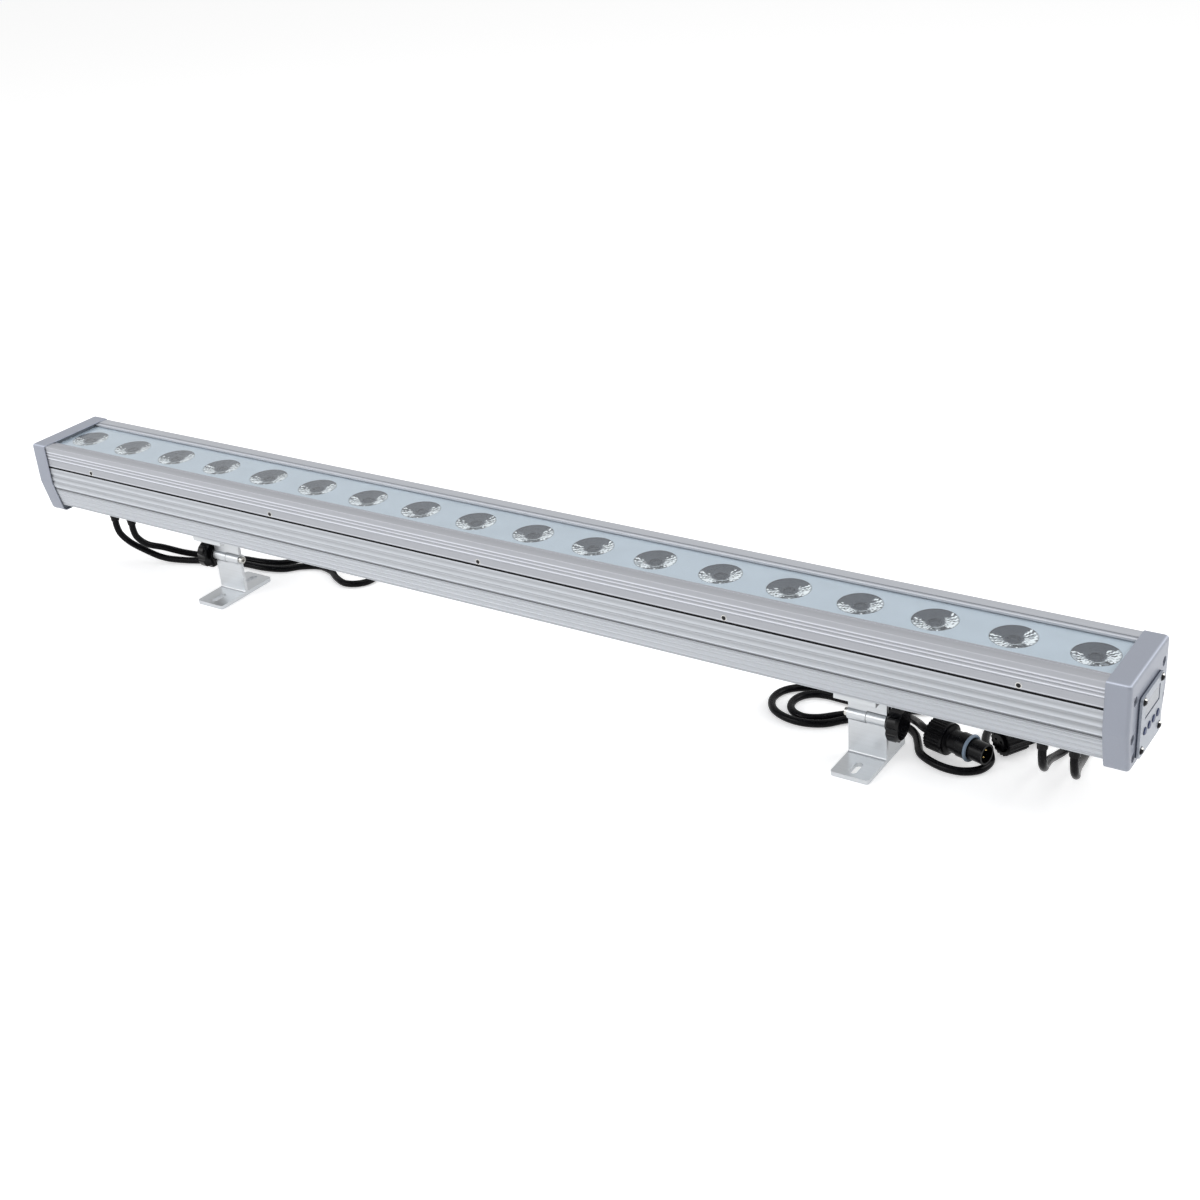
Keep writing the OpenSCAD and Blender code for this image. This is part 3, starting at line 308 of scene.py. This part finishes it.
# The farthest back that a lead's middle line may swing, to stay inside the CAD box
REACH_Y = 129.44
CURVE_STEPS = 8
PLUG, SOCKET = ("plug", "seal", "pins"), ("socket", "nut")
LEADS = {
    "power_in": dict(exit_x=433, end=(341, 32.4, 13.8), yaw=-14, pieces=PLUG, points=[
        (432.7, 2.6, 30.2), (431.5, 9.6, 23), (428.5, 21, 17.5), (425.5, 38, 11.5), (425, 53, 6),
        (426.5, 67, 3.2), (428, 84, 3), (424, 103, 3), (411, 117.5, 3), (392, 121, 3),
        (368, 114, 3), (347, 98, 3), (328, 80, 3), (306, 68.5, 3), (284, 63, 3), (260, 62, 3),
        (242, 62, 3), (233, 59.6, 3), (226.4, 53, 3), (224, 44, 3), (226.4, 35, 3), (233, 28.6, 3),
        (242, 26.4, 3), (252, 30, 3), (262, 38.5, 3), (272, 46.8, 3), (284, 53.6, 3),
        (299, 58, 3.2), (313, 55, 5.6), (325.4, 44, 10.6), (331, 37.4, 13)]),
    "signal_out": dict(exit_x=455, end=(407, 80, 10.9), yaw=240, pieces=SOCKET, points=[
        (454.8, 2.6, 30.2), (453.6, 9.6, 23), (450, 21, 17.5), (446, 36, 12), (443, 52, 6.5),
        (441, 67, 3.4), (440, 84, 3), (436, 105, 3), (425, 121.5, 3), (407, 129.5, 3),
        (386, 129, 3), (361, 121, 3), (340, 103.5, 3), (321, 84.5, 3), (302, 76.5, 3),
        (280, 70.5, 3), (255, 69, 3), (235, 69, 3), (219, 63.5, 3), (210, 53.5, 3), (208.5, 40, 3),
        (216, 27, 3), (230, 19.8, 3), (246, 19.2, 3), (260, 25, 3), (271, 36.6, 3), (282, 43.6, 3),
        (296, 46.6, 3), (308, 47.8, 3), (317.5, 45.6, 3), (325.6, 39, 3), (331.4, 29.6, 3),
        (338, 18.5, 3), (349, 11.6, 3), (362, 8.2, 3), (374, 9.6, 3), (383.5, 17, 3), (386, 29, 3),
        (381.5, 40, 3), (373.5, 51.5, 3), (369.3, 66, 3), (370, 80, 3), (374, 93.8, 3),
        (376.5, 103.3, 3), (383.5, 110.3, 3), (393, 112.8, 3), (402.5, 110.3, 3.6),
        (409.5, 103.3, 5.4), (412, 93.8, 8.2)]),
    "power_out": dict(exit_x=-455, end=(-240, 90, 10.9), yaw=180, pieces=SOCKET, points=[
        (-454.1, 1.6, 30.2), (-448.5, 5.8, 20.6), (-436, 11.5, 12), (-419, 17, 5.2),
        (-397, 25.5, 3), (-370, 36, 3), (-344, 42.4, 3), (-316, 44.8, 3), (-299, 50.5, 3),
        (-288, 61, 3), (-272, 68.5, 3), (-256, 65.5, 3), (-241, 56.6, 3), (-228, 52, 3),
        (-218.5, 54.5, 3), (-211.5, 61.5, 3), (-209, 71, 3.6), (-211.5, 80.5, 5.4),
        (-218.5, 87.5, 8.2), (-228, 90, 10.4)]),
    "signal_in": dict(exit_x=-433, end=(-256, 118.4, 12.3), yaw=0, pieces=PLUG, points=[
        (-432.5, 2, 30.4), (-429, 9, 20.8), (-421, 21, 13.6), (-406, 32, 6.4), (-380, 42.5, 3),
        (-352, 50, 3), (-326, 54, 3), (-307, 61, 3), (-298.5, 75, 3), (-295, 92, 3.4),
        (-287, 107, 6), (-273, 116.5, 10.5)]),
}


def make_lead(name, exit_x, end, yaw, pieces, points):
    along = Vector((math.cos(math.radians(yaw)), math.sin(math.radians(yaw)), 0))
    last = Vector(end)
    route = [(exit_x, 0, EXIT_Z), (exit_x, 0, EXIT_Z - STRAIGHT), *points,
             last - STRAIGHT * along, last]
    line = catmull(route, CURVE_STEPS)
    curve = bpy.data.curves.new(name + "_jacket", "CURVE")
    curve.dimensions = "3D"
    curve.bevel_depth = LEAD_D / 2 * MM
    curve.bevel_resolution = 5
    curve.use_fill_caps = True
    spline = curve.splines.new("POLY")
    spline.points.add(len(line) - 1)
    for point, q in zip(spline.points, line):
        point.co = (q.x * MM, min(q.y, REACH_Y) * MM, max(q.z, FLOOR_Z) * MM, 1)
    spline.use_smooth = True
    obj = object_of(name + "_jacket", curve)
    finish(obj, lead_jacket, "bar", [name + "_lead"])


for lead_name, facts in LEADS.items():
    make_lead(lead_name, **facts)

# ---------------------------------------------------------------- strips and sheets


def section_run(name, section, half_length):
    """A section drawn as (y, z) in millimetres, run along the bar, with its ends closed."""
    b = bmesh.new()
    rings = [[b.verts.new((x * MM, y * MM, z * MM)) for y, z in section]
             for x in (-half_length, half_length)]
    n = len(section)
    for i in range(n):
        j = (i + 1) % n
        b.faces.new((rings[0][i], rings[0][j], rings[1][j], rings[1][i]))
    b.faces.new(list(reversed(rings[0])))
    b.faces.new(rings[1])
    return built(name, b)


BAR_END = 484.9
SEAM_LOW, SEAM_HIGH, SEAM_FACE = 105.2, 107.1, 36.42
for side, seam, metal in ((-1, "front_seam_strip", front_metal),
                          (1, "rear_seam_strip", rear_metal)):
    bead = [(33.4, SEAM_LOW + 0.8), (35.4, SEAM_LOW + 0.8), (35.4, SEAM_LOW + 0.25),
            (35.75, SEAM_LOW), (36.1, SEAM_LOW), (36.34, SEAM_LOW + 0.25),
            (SEAM_FACE, SEAM_LOW + 0.7), (SEAM_FACE, SEAM_HIGH - 0.3), (36.3, SEAM_HIGH),
            (33.4, SEAM_HIGH)]
    foot = [(33.4, SEAM_HIGH), (36.3, SEAM_HIGH), (36.47, SEAM_HIGH + 0.15), (36.47, 107.68),
            (33.4, 107.68)]
    for part, outline, material, slot in ((seam + "_bead", bead, black_rubber, "black_rubber"),
                                          (seam + "_foot", foot, metal, "bar_metal")):
        finish(section_run(part, [(side * y, z) for y, z in outline], BAR_END - 0.4), material,
               "bar", [seam])

GLASS_TOP, GLASS_LOW = 123.8, 123.1
sheet = [(-28, GLASS_LOW), (28, GLASS_LOW), (28, GLASS_TOP - 0.1), (27.9, GLASS_TOP),
         (-27.9, GLASS_TOP), (-28, GLASS_TOP - 0.1)]
finish(section_run("cover_glass", sheet, BAR_END - 0.3), glass, "bar", ["glass_panel"])

# ---------------------------------------------------------------- lenses

LENS_COUNT, LENS_START, LENS_PITCH = 18, -464.95, 54.7
LENS_RIM = 15.9
PLATE_TOP = 123.05
LENS_TOP = 122.9
WELL_R = 5.2
DISH_DEPTH = 1.7
RAYS, ROWS = 44, 9
# The side of a lens that lies away from the photographer
FAR = math.radians(125.2)


def speck(*seed):
    """A fixed scatter value in 0..1."""
    mixed = sum(v * w for v, w in zip(seed, (12.9898, 78.233, 37.719, 9.151)))
    return math.sin(mixed) * 43758.5453 % 1


def optic_plate():
    """The pale plate round the lenses, with a chamfered hole for each."""
    b = bmesh.new()
    turns = 48
    left, right = -BAR_END + 0.6, BAR_END - 0.6
    half = 27.6
    between = [LENS_START + (k + 0.5) * LENS_PITCH for k in range(LENS_COUNT - 1)]
    bounds = [left, *between, right]
    for k in range(LENS_COUNT):
        cx = LENS_START + k * LENS_PITCH
        x0, x1 = bounds[k], bounds[k + 1]
        rims = []
        for r, z in ((LENS_RIM + 0.35, PLATE_TOP), (LENS_RIM + 0.02, PLATE_TOP - 0.3),
                     (LENS_RIM + 0.02, PLATE_TOP - 1.2)):
            rims.append([b.verts.new(((cx + r * math.cos(2 * math.pi * i / turns)) * MM,
                                      r * math.sin(2 * math.pi * i / turns) * MM, z * MM))
                         for i in range(turns)])
        outer = []
        for i in range(turns):
            c, s = math.cos(2 * math.pi * i / turns), math.sin(2 * math.pi * i / turns)
            reach = min(((x1 - cx) if c > 0 else (cx - x0)) / max(abs(c), 1e-6),
                        half / max(abs(s), 1e-6))
            outer.append(b.verts.new(((cx + reach * c) * MM, reach * s * MM, PLATE_TOP * MM)))
        corners = {}
        for sx, sy in ((1, 1), (-1, 1), (-1, -1), (1, -1)):
            corners[sx, sy] = b.verts.new(((x1 if sx > 0 else x0) * MM, sy * half * MM,
                                           PLATE_TOP * MM))
        for i in range(turns):
            j = (i + 1) % turns
            p, q = outer[i], outer[j]
            b.faces.new((rims[0][i], p, q, rims[0][j]))
            if abs(p.co.x - q.co.x) > 1e-7 and abs(p.co.y - q.co.y) > 1e-7:
                mid = (p.co + q.co) / 2
                b.faces.new((p, corners[1 if mid.x / MM > cx else -1, 1 if mid.y > 0 else -1], q))
            for upper, lower in ((rims[0], rims[1]), (rims[1], rims[2])):
                b.faces.new((upper[i], upper[j], lower[j], lower[i]))
    bmesh.ops.remove_doubles(b, verts=b.verts, dist=1e-6)
    return built("optic_plate", b, face_up=True)


SHADE, GREY, PALE, SPARK, DEEP = range(5)


def lens_tone(off, t, i, j, k):
    """The finish of a diamond of the lens: its light and shade are painted, as photographed.

    off is the diamond's angle from the far side in degrees, t its place from well to rim.
    """
    a = abs(off)
    chance = speck(i, j, k, 1)
    checker = (i + j) % 2
    if t < 0.2:
        return SHADE if a < 150 or chance < 0.6 else DEEP
    if a < 58:
        return DEEP if t > 0.93 else SHADE
    if a < 80:
        if t > 0.93:
            return DEEP
        if t < 0.25:
            return SHADE
        return SPARK if checker and chance < 0.45 else (GREY if chance < 0.3 else SHADE)
    if a < 108:
        if t > 0.97:
            return GREY
        if checker:
            return SPARK if chance < 0.75 else PALE
        return (DEEP if chance < 0.45 else GREY) if t < 0.8 else PALE
    if a < 146:
        if t < 0.22:
            return PALE if checker and chance > 0.4 else DEEP
        if t > 0.97:
            return GREY
        if checker:
            return SPARK if chance > 0.08 else GREY
        return SPARK if t > 0.45 and chance < 0.62 else (PALE if chance < 0.85 else DEEP)
    return DEEP if chance < 0.7 else GREY


def lens_optics():
    """Shallow faceted dishes as the optics look through their flat faces, each with a well."""
    dish = bmesh.new()
    core = bmesh.new()
    for k in range(LENS_COUNT):
        cx = LENS_START + k * LENS_PITCH
        rings = []
        for j in range(ROWS + 1):
            t = j / ROWS
            r = WELL_R + (LENS_RIM - WELL_R) * t
            z = LENS_TOP - DISH_DEPTH * (1 - t ** 1.6)
            ring = []
            for i in range(RAYS):
                a = 2 * math.pi * (i + 0.5 * (j % 2)) / RAYS
                lift = 0.16 * (speck(i, j, k, 2) - 0.5) if 0 < j < ROWS else 0
                ring.append(dish.verts.new(((cx + r * math.cos(a)) * MM, r * math.sin(a) * MM,
                                            (z + lift) * MM)))
            rings.append(ring)
        for j in range(ROWS):
            low, high = rings[j], rings[j + 1]
            for i in range(RAYS):
                n = (i + 1) % RAYS
                pair = (((low[i], high[n], high[i]), (low[i], low[n], high[n])) if j % 2 else
                        ((low[i], low[n], high[i]), (low[n], high[n], high[i])))
                for part, corners in enumerate(pair):
                    face = dish.faces.new(corners)
                    # each diamond is the two triangles on one edge of a ring
                    flat = part == (1 if j % 2 else 0)
                    ring = j if flat else j + 1
                    angle = 2 * math.pi * (i + 0.5 + 0.5 * (ring % 2)) / RAYS
                    off = math.degrees((angle - FAR + math.pi) % (2 * math.pi) - math.pi)
                    face.material_index = lens_tone(off, ring / ROWS, i, ring, k)
        # the arc of light on the near side and the three glints round it
        arc = []
        for i in range(13):
            a = FAR + math.pi + math.radians(-38 + 76 * i / 12)
            half = 0.5 * math.sin(math.pi * (i + 0.6) / 13.2)
            arc.append([dish.verts.new(((cx + r * math.cos(a)) * MM, r * math.sin(a) * MM,
                                        (LENS_TOP - 0.9) * MM)) for r in (9.3 - half, 9.3 + half)])
        for one, two in zip(arc, arc[1:]):
            dish.faces.new((one[0], one[1], two[1], two[0])).material_index = PALE
        for turn_by, r, size in ((26, 13.6, 1.0), (-7, 15.0, 0.75), (-24, 12.6, 0.6)):
            a = FAR + math.pi + math.radians(turn_by)
            glint = [dish.verts.new(((cx + r * math.cos(a) + size * math.cos(w)) * MM,
                                     (r * math.sin(a) + size * math.sin(w)) * MM,
                                     (LENS_TOP - 0.02) * MM))
                     for w in (2 * math.pi * q / 7 for q in range(7))]
            dish.faces.new(glint).material_index = SPARK
        # well in the middle: a ring wall, a groove and a low dome
        outline = [(WELL_R, LENS_TOP - DISH_DEPTH), (4.8, LENS_TOP - 1.35), (4.3, LENS_TOP - 1.3),
                   (3.9, LENS_TOP - 2.2), (3.2, LENS_TOP - 2.5), (2.2, LENS_TOP - 1.9),
                   (0.8, LENS_TOP - 1.7)]
        turns = 36
        last = None
        for r, z in outline:
            ring = [core.verts.new(((cx + r * math.cos(2 * math.pi * i / turns)) * MM,
                                    r * math.sin(2 * math.pi * i / turns) * MM, z * MM))
                    for i in range(turns)]
            if last:
                for i in range(turns):
                    n = (i + 1) % turns
                    core.faces.new((last[i], last[n], ring[n], ring[i]))
            last = ring
        core.faces.new(last)
    return built("lens_dishes", dish, face_up=True), built("lens_wells", core, face_up=True)


dishes, wells = lens_optics()
# The lens diamond finishes are painted light and shade: lens_shade and lens_deep painted shade,
# lens_grey a middle tone, lens_pale and lens_spark painted highlights; lens_spark also glows a
# little as a painted glint
lens_shade = surface("lens_shade", (0.076, 0.084, 0.104), 0.35, 0.0, EVEN, 1200, 0.10, 0.05,
                     0.05, 0.00003, specular=0.3)
lens_grey = surface("lens_grey", (0.27, 0.285, 0.31), 0.30, 0.0, EVEN, 1200, 0.10, 0.05,
                    0.05, 0.00003)
lens_pale = surface("lens_pale", (0.60, 0.62, 0.65), 0.25, 0.0, EVEN, 1200, 0.06, 0.05,
                    0.05, 0.00003)
lens_spark = surface("lens_spark", (0.95, 0.955, 0.96), 0.2, 0.0, EVEN, 1200, 0.02, 0.05,
                     0.05, 0.00003, glow=0.15)
lens_deep = surface("lens_deep", (0.035, 0.039, 0.048), 0.3, 0.0, EVEN, 1200, 0.10, 0.05,
                    0.05, 0.00003, specular=0.3)
lens_core = surface("lens_core", (0.062, 0.070, 0.088), 0.2, 0.0, EVEN, 1200, 0.12, 0.04,
                    0.05, 0.00003, specular=0.3)
finish(dishes, lens_shade, "bar", ["lenses"], smooth=False)
for extra in (lens_grey, lens_pale, lens_spark, lens_deep):
    dishes.data.materials.append(extra)
finish(wells, lens_core, "bar", ["lenses"], angle=40)
finish(optic_plate(), lens_panel, "bar", ["lens_plate"], smooth=False)

# ---------------------------------------------------------------- small fixings


def fixings(name, outline, places, axis, turns=20, slots=None, dark_side=False):
    """Turned heads: outline as (radius, height, tone of the band that ends there)."""
    b = bmesh.new()
    frames = {"x": ((0, 1, 0), (0, 0, 1), (1, 0, 0)), "-y": ((1, 0, 0), (0, 0, 1), (0, -1, 0)),
              "y": ((-1, 0, 0), (0, 0, 1), (0, 1, 0))}
    across, upward, out = (Vector(v) for v in frames[axis])

    def at(centre, u, v, w):
        return b.verts.new((Vector(centre) + across * u + upward * v + out * w) * MM)

    for centre in places:
        last = None
        for r, h, tone in outline:
            ring = [at(centre, r * math.cos(2 * math.pi * i / turns),
                       r * math.sin(2 * math.pi * i / turns), h) for i in range(turns)]
            if last:
                for i in range(turns):
                    n = (i + 1) % turns
                    # With dark_side, the steel faces on the -across side of each head take the
                    # black finish instead: painted shade
                    shaded = tone == 0 and dark_side and math.cos(2 * math.pi * i / turns) < -0.35
                    b.faces.new((last[i], last[n], ring[n], ring[i])).material_index = (
                        1 if shaded else tone)
            last = ring
        b.faces.new(last).material_index = outline[-1][2]
        if slots:
            half, width, height, tone = slots
            for turn_by in (0.5, 0.5 + math.pi / 2):
                c, s = math.cos(turn_by), math.sin(turn_by)
                corners = [(half, width), (-half, width), (-half, -width), (half, -width)]
                b.faces.new([at(centre, p * c - q * s, p * s + q * c, height)
                             for p, q in corners]).material_index = tone
    return built(name, b)


bright_steel = surface("bright_steel", (0.80, 0.79, 0.76), 0.2, 0.7, EVEN, 900, 0.06, 0.05,
                       0.06, 0.00004)
# Black for the cross slots, the rings under the plate screw heads, the middles of the rail screw
# heads and the shaded side of the plate screw heads: all painted shade
painted_recess_shade = surface("painted_recess_shade", (0.012, 0.012, 0.014), 0.5, 0.0, EVEN, 900, 0.2, 0.05,
                       0.06, 0.00004, specular=0.2)
PLATE_FRONT = 502.6
plate_screws = [(PLATE_FRONT, y * 17.7, 89.1 + z * 17.7) for y in (-1, 1) for z in (-1, 1)]
# The plate screws get a dark ring below the head, black cross slots and a black side, all painted
# shade
heads = fixings("plate_screw_heads",
                [(2.95, -0.3, 1), (2.95, 0.12, 1), (2.45, 0.16, 1), (2.4, 0.5, 0), (2.1, 1.0, 0),
                 (1.5, 1.33, 0), (0.7, 1.48, 0)], plate_screws, "x", 12,
                slots=(1.6, 0.4, 1.5, 1), dark_side=True)
finish(heads, bright_steel, "bar", ["control_screws"], smooth=False)
heads.data.materials.append(painted_recess_shade)
RAIL_SCREW_Z = 109.6
# Each rail screw head is a bright rim round a black middle; the black is painted shade
for side, axis, node in ((-1, "-y", "front_rail_screws"), (1, "y", "rear_rail_screws")):
    centres = [((i - 2) * 214, side * 36.5, RAIL_SCREW_Z) for i in range(5)]
    rings = fixings(node + "_heads", [(2.2, 0.02, 0), (2.1, 0.13, 0), (1.7, 0.13, 0),
                                      (1.5, 0.05, 1), (0.8, 0.04, 1)], centres, axis, 18)
    finish(rings, bright_steel, "bar", [node], angle=40)
    rings.data.materials.append(painted_recess_shade)


def display_pane():
    """The window of the display with its dark surround, painted shade of the window's frame."""
    b = bmesh.new()
    low, high = PLATE_FRONT - 0.88, PLATE_FRONT - 0.3
    outer = [(-14.35, 92.45), (14.35, 92.45), (14.35, 104.15), (-14.35, 104.15)]
    inner = [(-13.4, 93.6), (13.3, 93.6), (13.3, 103.7), (-13.4, 103.7)]
    back = [b.verts.new((low * MM, y * MM, z * MM)) for y, z in outer]
    rim = [b.verts.new((high * MM, y * MM, z * MM)) for y, z in outer]
    edge = [b.verts.new((high * MM, y * MM, z * MM)) for y, z in inner]
    for i in range(4):
        j = (i + 1) % 4
        b.faces.new((back[i], back[j], rim[j], rim[i])).material_index = 1
        b.faces.new((rim[i], rim[j], edge[j], edge[i])).material_index = 1
    b.faces.new(edge)
    b.faces.new(list(reversed(back)))
    return built("display_pane", b)


pane = finish(display_pane(), window_plastic, "bar", ["display_window"],
              smooth=False)
# The surround's dark finish is painted shade of the window's frame
pane.data.materials.append(surface("window_frame_shade", (0.05, 0.06, 0.10), 0.4, 0, EVEN, 900,
                                   0.1, 0.05, 0.05, 0.00003))

# ---------------------------------------------------------------- finishes of the CAD nodes

FINISHES = {
    bar_metal: ["housing"],
    front_metal: ["front_rail"],
    rear_metal: ["rear_rail"],
    cap_paint: ["left_end_cap", "right_end_cap"],
    plate_metal: ["control_plate", "driver"],
    bracket_metal: ["left_slide_plate", "right_slide_plate", "left_foot", "right_foot"],
    steel: ["left_hinge_bolt", "right_hinge_bolt", "left_plate_screw", "right_plate_screw"],
    dark_steel: ["left_cap_screws", "right_cap_screws"],
    black_rubber: ["glass_gasket"],
    grey_rubber: ["left_end_gasket", "right_end_gasket"],
    panel_rubber: ["control_gasket"],
    seal_rubber: ["power_in_seal", "signal_in_seal"],
    black_plastic: ["power_in_gland", "signal_out_gland", "power_out_gland", "signal_in_gland",
                    "power_in_plug", "signal_in_plug", "power_out_socket", "signal_out_socket",
                    "power_out_nut", "signal_out_nut"],
    knob_plastic: ["left_knob", "right_knob"],
    dark_plastic: ["lens_holders"],
    white_board: ["led_board"],
    green_board: ["control_board", "display_module"],
    emitter: ["led_emitters"],
    gold: ["power_in_pins", "signal_in_pins"],
    key_plastic: ["key_1", "key_2", "key_3", "key_4"],
}
for material, names in FINISHES.items():
    for n in names:
        nodes[n].data.materials.clear()
        nodes[n].data.materials.append(material)

# ---------------------------------------------------------------- floor, light and camera


FLOOR_GLOW = 0.48
AMBIENT = 0.50


def floor_material():
    """Pale floor that renders white to the camera and keeps the shadows."""
    m, tree, shader = new_material("studio_floor")
    shader.inputs["Base Color"].default_value = (0.9, 0.9, 0.9, 1)
    shader.inputs["Roughness"].default_value = 0.9
    shader.inputs["Specular IOR Level"].default_value = 0.0
    glow = tree.nodes.new("ShaderNodeEmission")
    glow.inputs["Strength"].default_value = FLOOR_GLOW
    path = tree.nodes.new("ShaderNodeLightPath")
    seen = tree.nodes.new("ShaderNodeMath")
    seen.operation = "MAXIMUM"
    tree.links.new(path.outputs["Is Camera Ray"], seen.inputs[0])
    tree.links.new(path.outputs["Is Transmission Ray"], seen.inputs[1])
    also = tree.nodes.new("ShaderNodeMath")
    also.operation = "MAXIMUM"
    tree.links.new(seen.outputs["Value"], also.inputs[0])
    tree.links.new(path.outputs["Is Glossy Ray"], also.inputs[1])
    add = tree.nodes.new("ShaderNodeAddShader")
    tree.links.new(shader.outputs["BSDF"], add.inputs[0])
    tree.links.new(glow.outputs["Emission"], add.inputs[1])
    mix = tree.nodes.new("ShaderNodeMixShader")
    tree.links.new(also.outputs["Value"], mix.inputs["Fac"])
    tree.links.new(shader.outputs["BSDF"], mix.inputs[1])
    tree.links.new(add.outputs["Shader"], mix.inputs[2])
    tree.links.new(mix.outputs["Shader"], tree.nodes["Material Output"].inputs["Surface"])
    return m


floor_mesh = bpy.data.meshes.new("floor")
floor_mesh.from_pydata([(-9, -9, -0.0003), (9, -9, -0.0003), (9, 9, -0.0003), (-9, 9, -0.0003)],
                       [], [(0, 1, 2, 3)])
floor = object_of("floor", floor_mesh)
floor.data.materials.append(floor_material())

world = bpy.data.worlds.new("studio")
bpy.context.scene.world = world
world.use_nodes = True
wt = world.node_tree
background = wt.nodes["Background"]
background.inputs["Color"].default_value = (1, 1, 1, 1)


def toward(axis, start, stop):
    """1 round a direction of the world, 0 away from it."""
    coord = wt.nodes.new("ShaderNodeTexCoord")
    dot = wt.nodes.new("ShaderNodeVectorMath")
    dot.operation = "DOT_PRODUCT"
    dot.inputs[1].default_value = Vector(axis).normalized()
    wt.links.new(coord.outputs["Generated"], dot.inputs[0])
    ramp = wt.nodes.new("ShaderNodeMapRange")
    ramp.interpolation_type = "SMOOTHSTEP"
    ramp.inputs["From Min"].default_value = start
    ramp.inputs["From Max"].default_value = stop
    wt.links.new(dot.outputs["Value"], ramp.inputs["Value"])
    return ramp.outputs["Result"]


def wmath(operation, a, b):
    node = wt.nodes.new("ShaderNodeMath")
    node.operation = operation
    for socket, v in zip(node.inputs, (a, b)):
        if isinstance(v, (int, float)):
            socket.default_value = v
        else:
            wt.links.new(v, socket)
    return node.outputs["Value"]


# The studio as metal and glass show it: white, grey above the back, dark on the side the
# photographer stands.
dark_side = toward((0.50, -0.70, 0.52), 0.78, 0.93)
grey_back = toward((-0.45, 0.70, 0.60), 0.70, 0.95)
studio = wmath("SUBTRACT", wmath("SUBTRACT", 1.0, wmath("MULTIPLY", dark_side, 0.80)),
               wmath("MULTIPLY", grey_back, 0.25))
path = wt.nodes.new("ShaderNodeLightPath")
unseen = wmath("SUBTRACT", 1.0, wmath("MAXIMUM", path.outputs["Is Camera Ray"],
                                      path.outputs["Is Transmission Ray"]))
shown = wmath("ADD", wmath("MULTIPLY", path.outputs["Is Glossy Ray"], studio),
              wmath("MULTIPLY", wmath("SUBTRACT", 1.0, path.outputs["Is Glossy Ray"]), AMBIENT))
level = wmath("ADD", wmath("MULTIPLY", unseen, shown), wmath("SUBTRACT", 1.0, unseen))
wt.links.new(level, background.inputs["Strength"])


def area_light(name, place, target, size, power):
    data = bpy.data.lights.new(name, "AREA")
    data.shape = "RECTANGLE"
    data.size, data.size_y = size
    data.energy = power
    obj = bpy.data.objects.new(name, data)
    bpy.context.scene.collection.objects.link(obj)
    obj.location = place
    obj.rotation_euler = (Vector(target) - Vector(place)).to_track_quat("-Z", "Y").to_euler()
    return obj


area_light("key", (-1.4, -1.9, 1.35), (0, 0, 0.1), (1.6, 1.2), 19)
area_light("side", (1.9, 1.1, 1.3), (0.2, 0, 0.1), (1.2, 1.0), 11)
area_light("top", (0.1, -0.3, 2.4), (0, 0, 0.1), (2.2, 1.0), 15)

CAMERA_PLACE = (766.109, -965.598, 677.249)
CAMERA_AZIMUTH, CAMERA_ELEVATION, CAMERA_ROLL = 35.22, 26.868, -4.618
SENSOR_MM = 36
FOCAL_PIXELS, PHOTO_PIXELS = 1749.91, 1200
az, el, roll = (math.radians(v) for v in (CAMERA_AZIMUTH, CAMERA_ELEVATION, CAMERA_ROLL))
forward = Vector((-math.sin(az) * math.cos(el), math.cos(az) * math.cos(el), -math.sin(el)))
right = Vector((math.cos(az), math.sin(az), 0))
up = right.cross(forward)
right_r = math.cos(roll) * right + math.sin(roll) * up
up_r = -math.sin(roll) * right + math.cos(roll) * up
camera_data = bpy.data.cameras.new("camera")
camera_data.sensor_width = SENSOR_MM
camera_data.lens = FOCAL_PIXELS * SENSOR_MM / PHOTO_PIXELS
camera_data.clip_start = 0.01
camera = bpy.data.objects.new("camera", camera_data)
bpy.context.scene.collection.objects.link(camera)
turn = Matrix((right_r, up_r, -forward)).transposed().to_4x4()
camera.matrix_world = Matrix.Translation(Vector(CAMERA_PLACE) * MM) @ turn
bpy.context.scene.camera = camera

bpy.context.scene.view_settings.view_transform = "Standard"
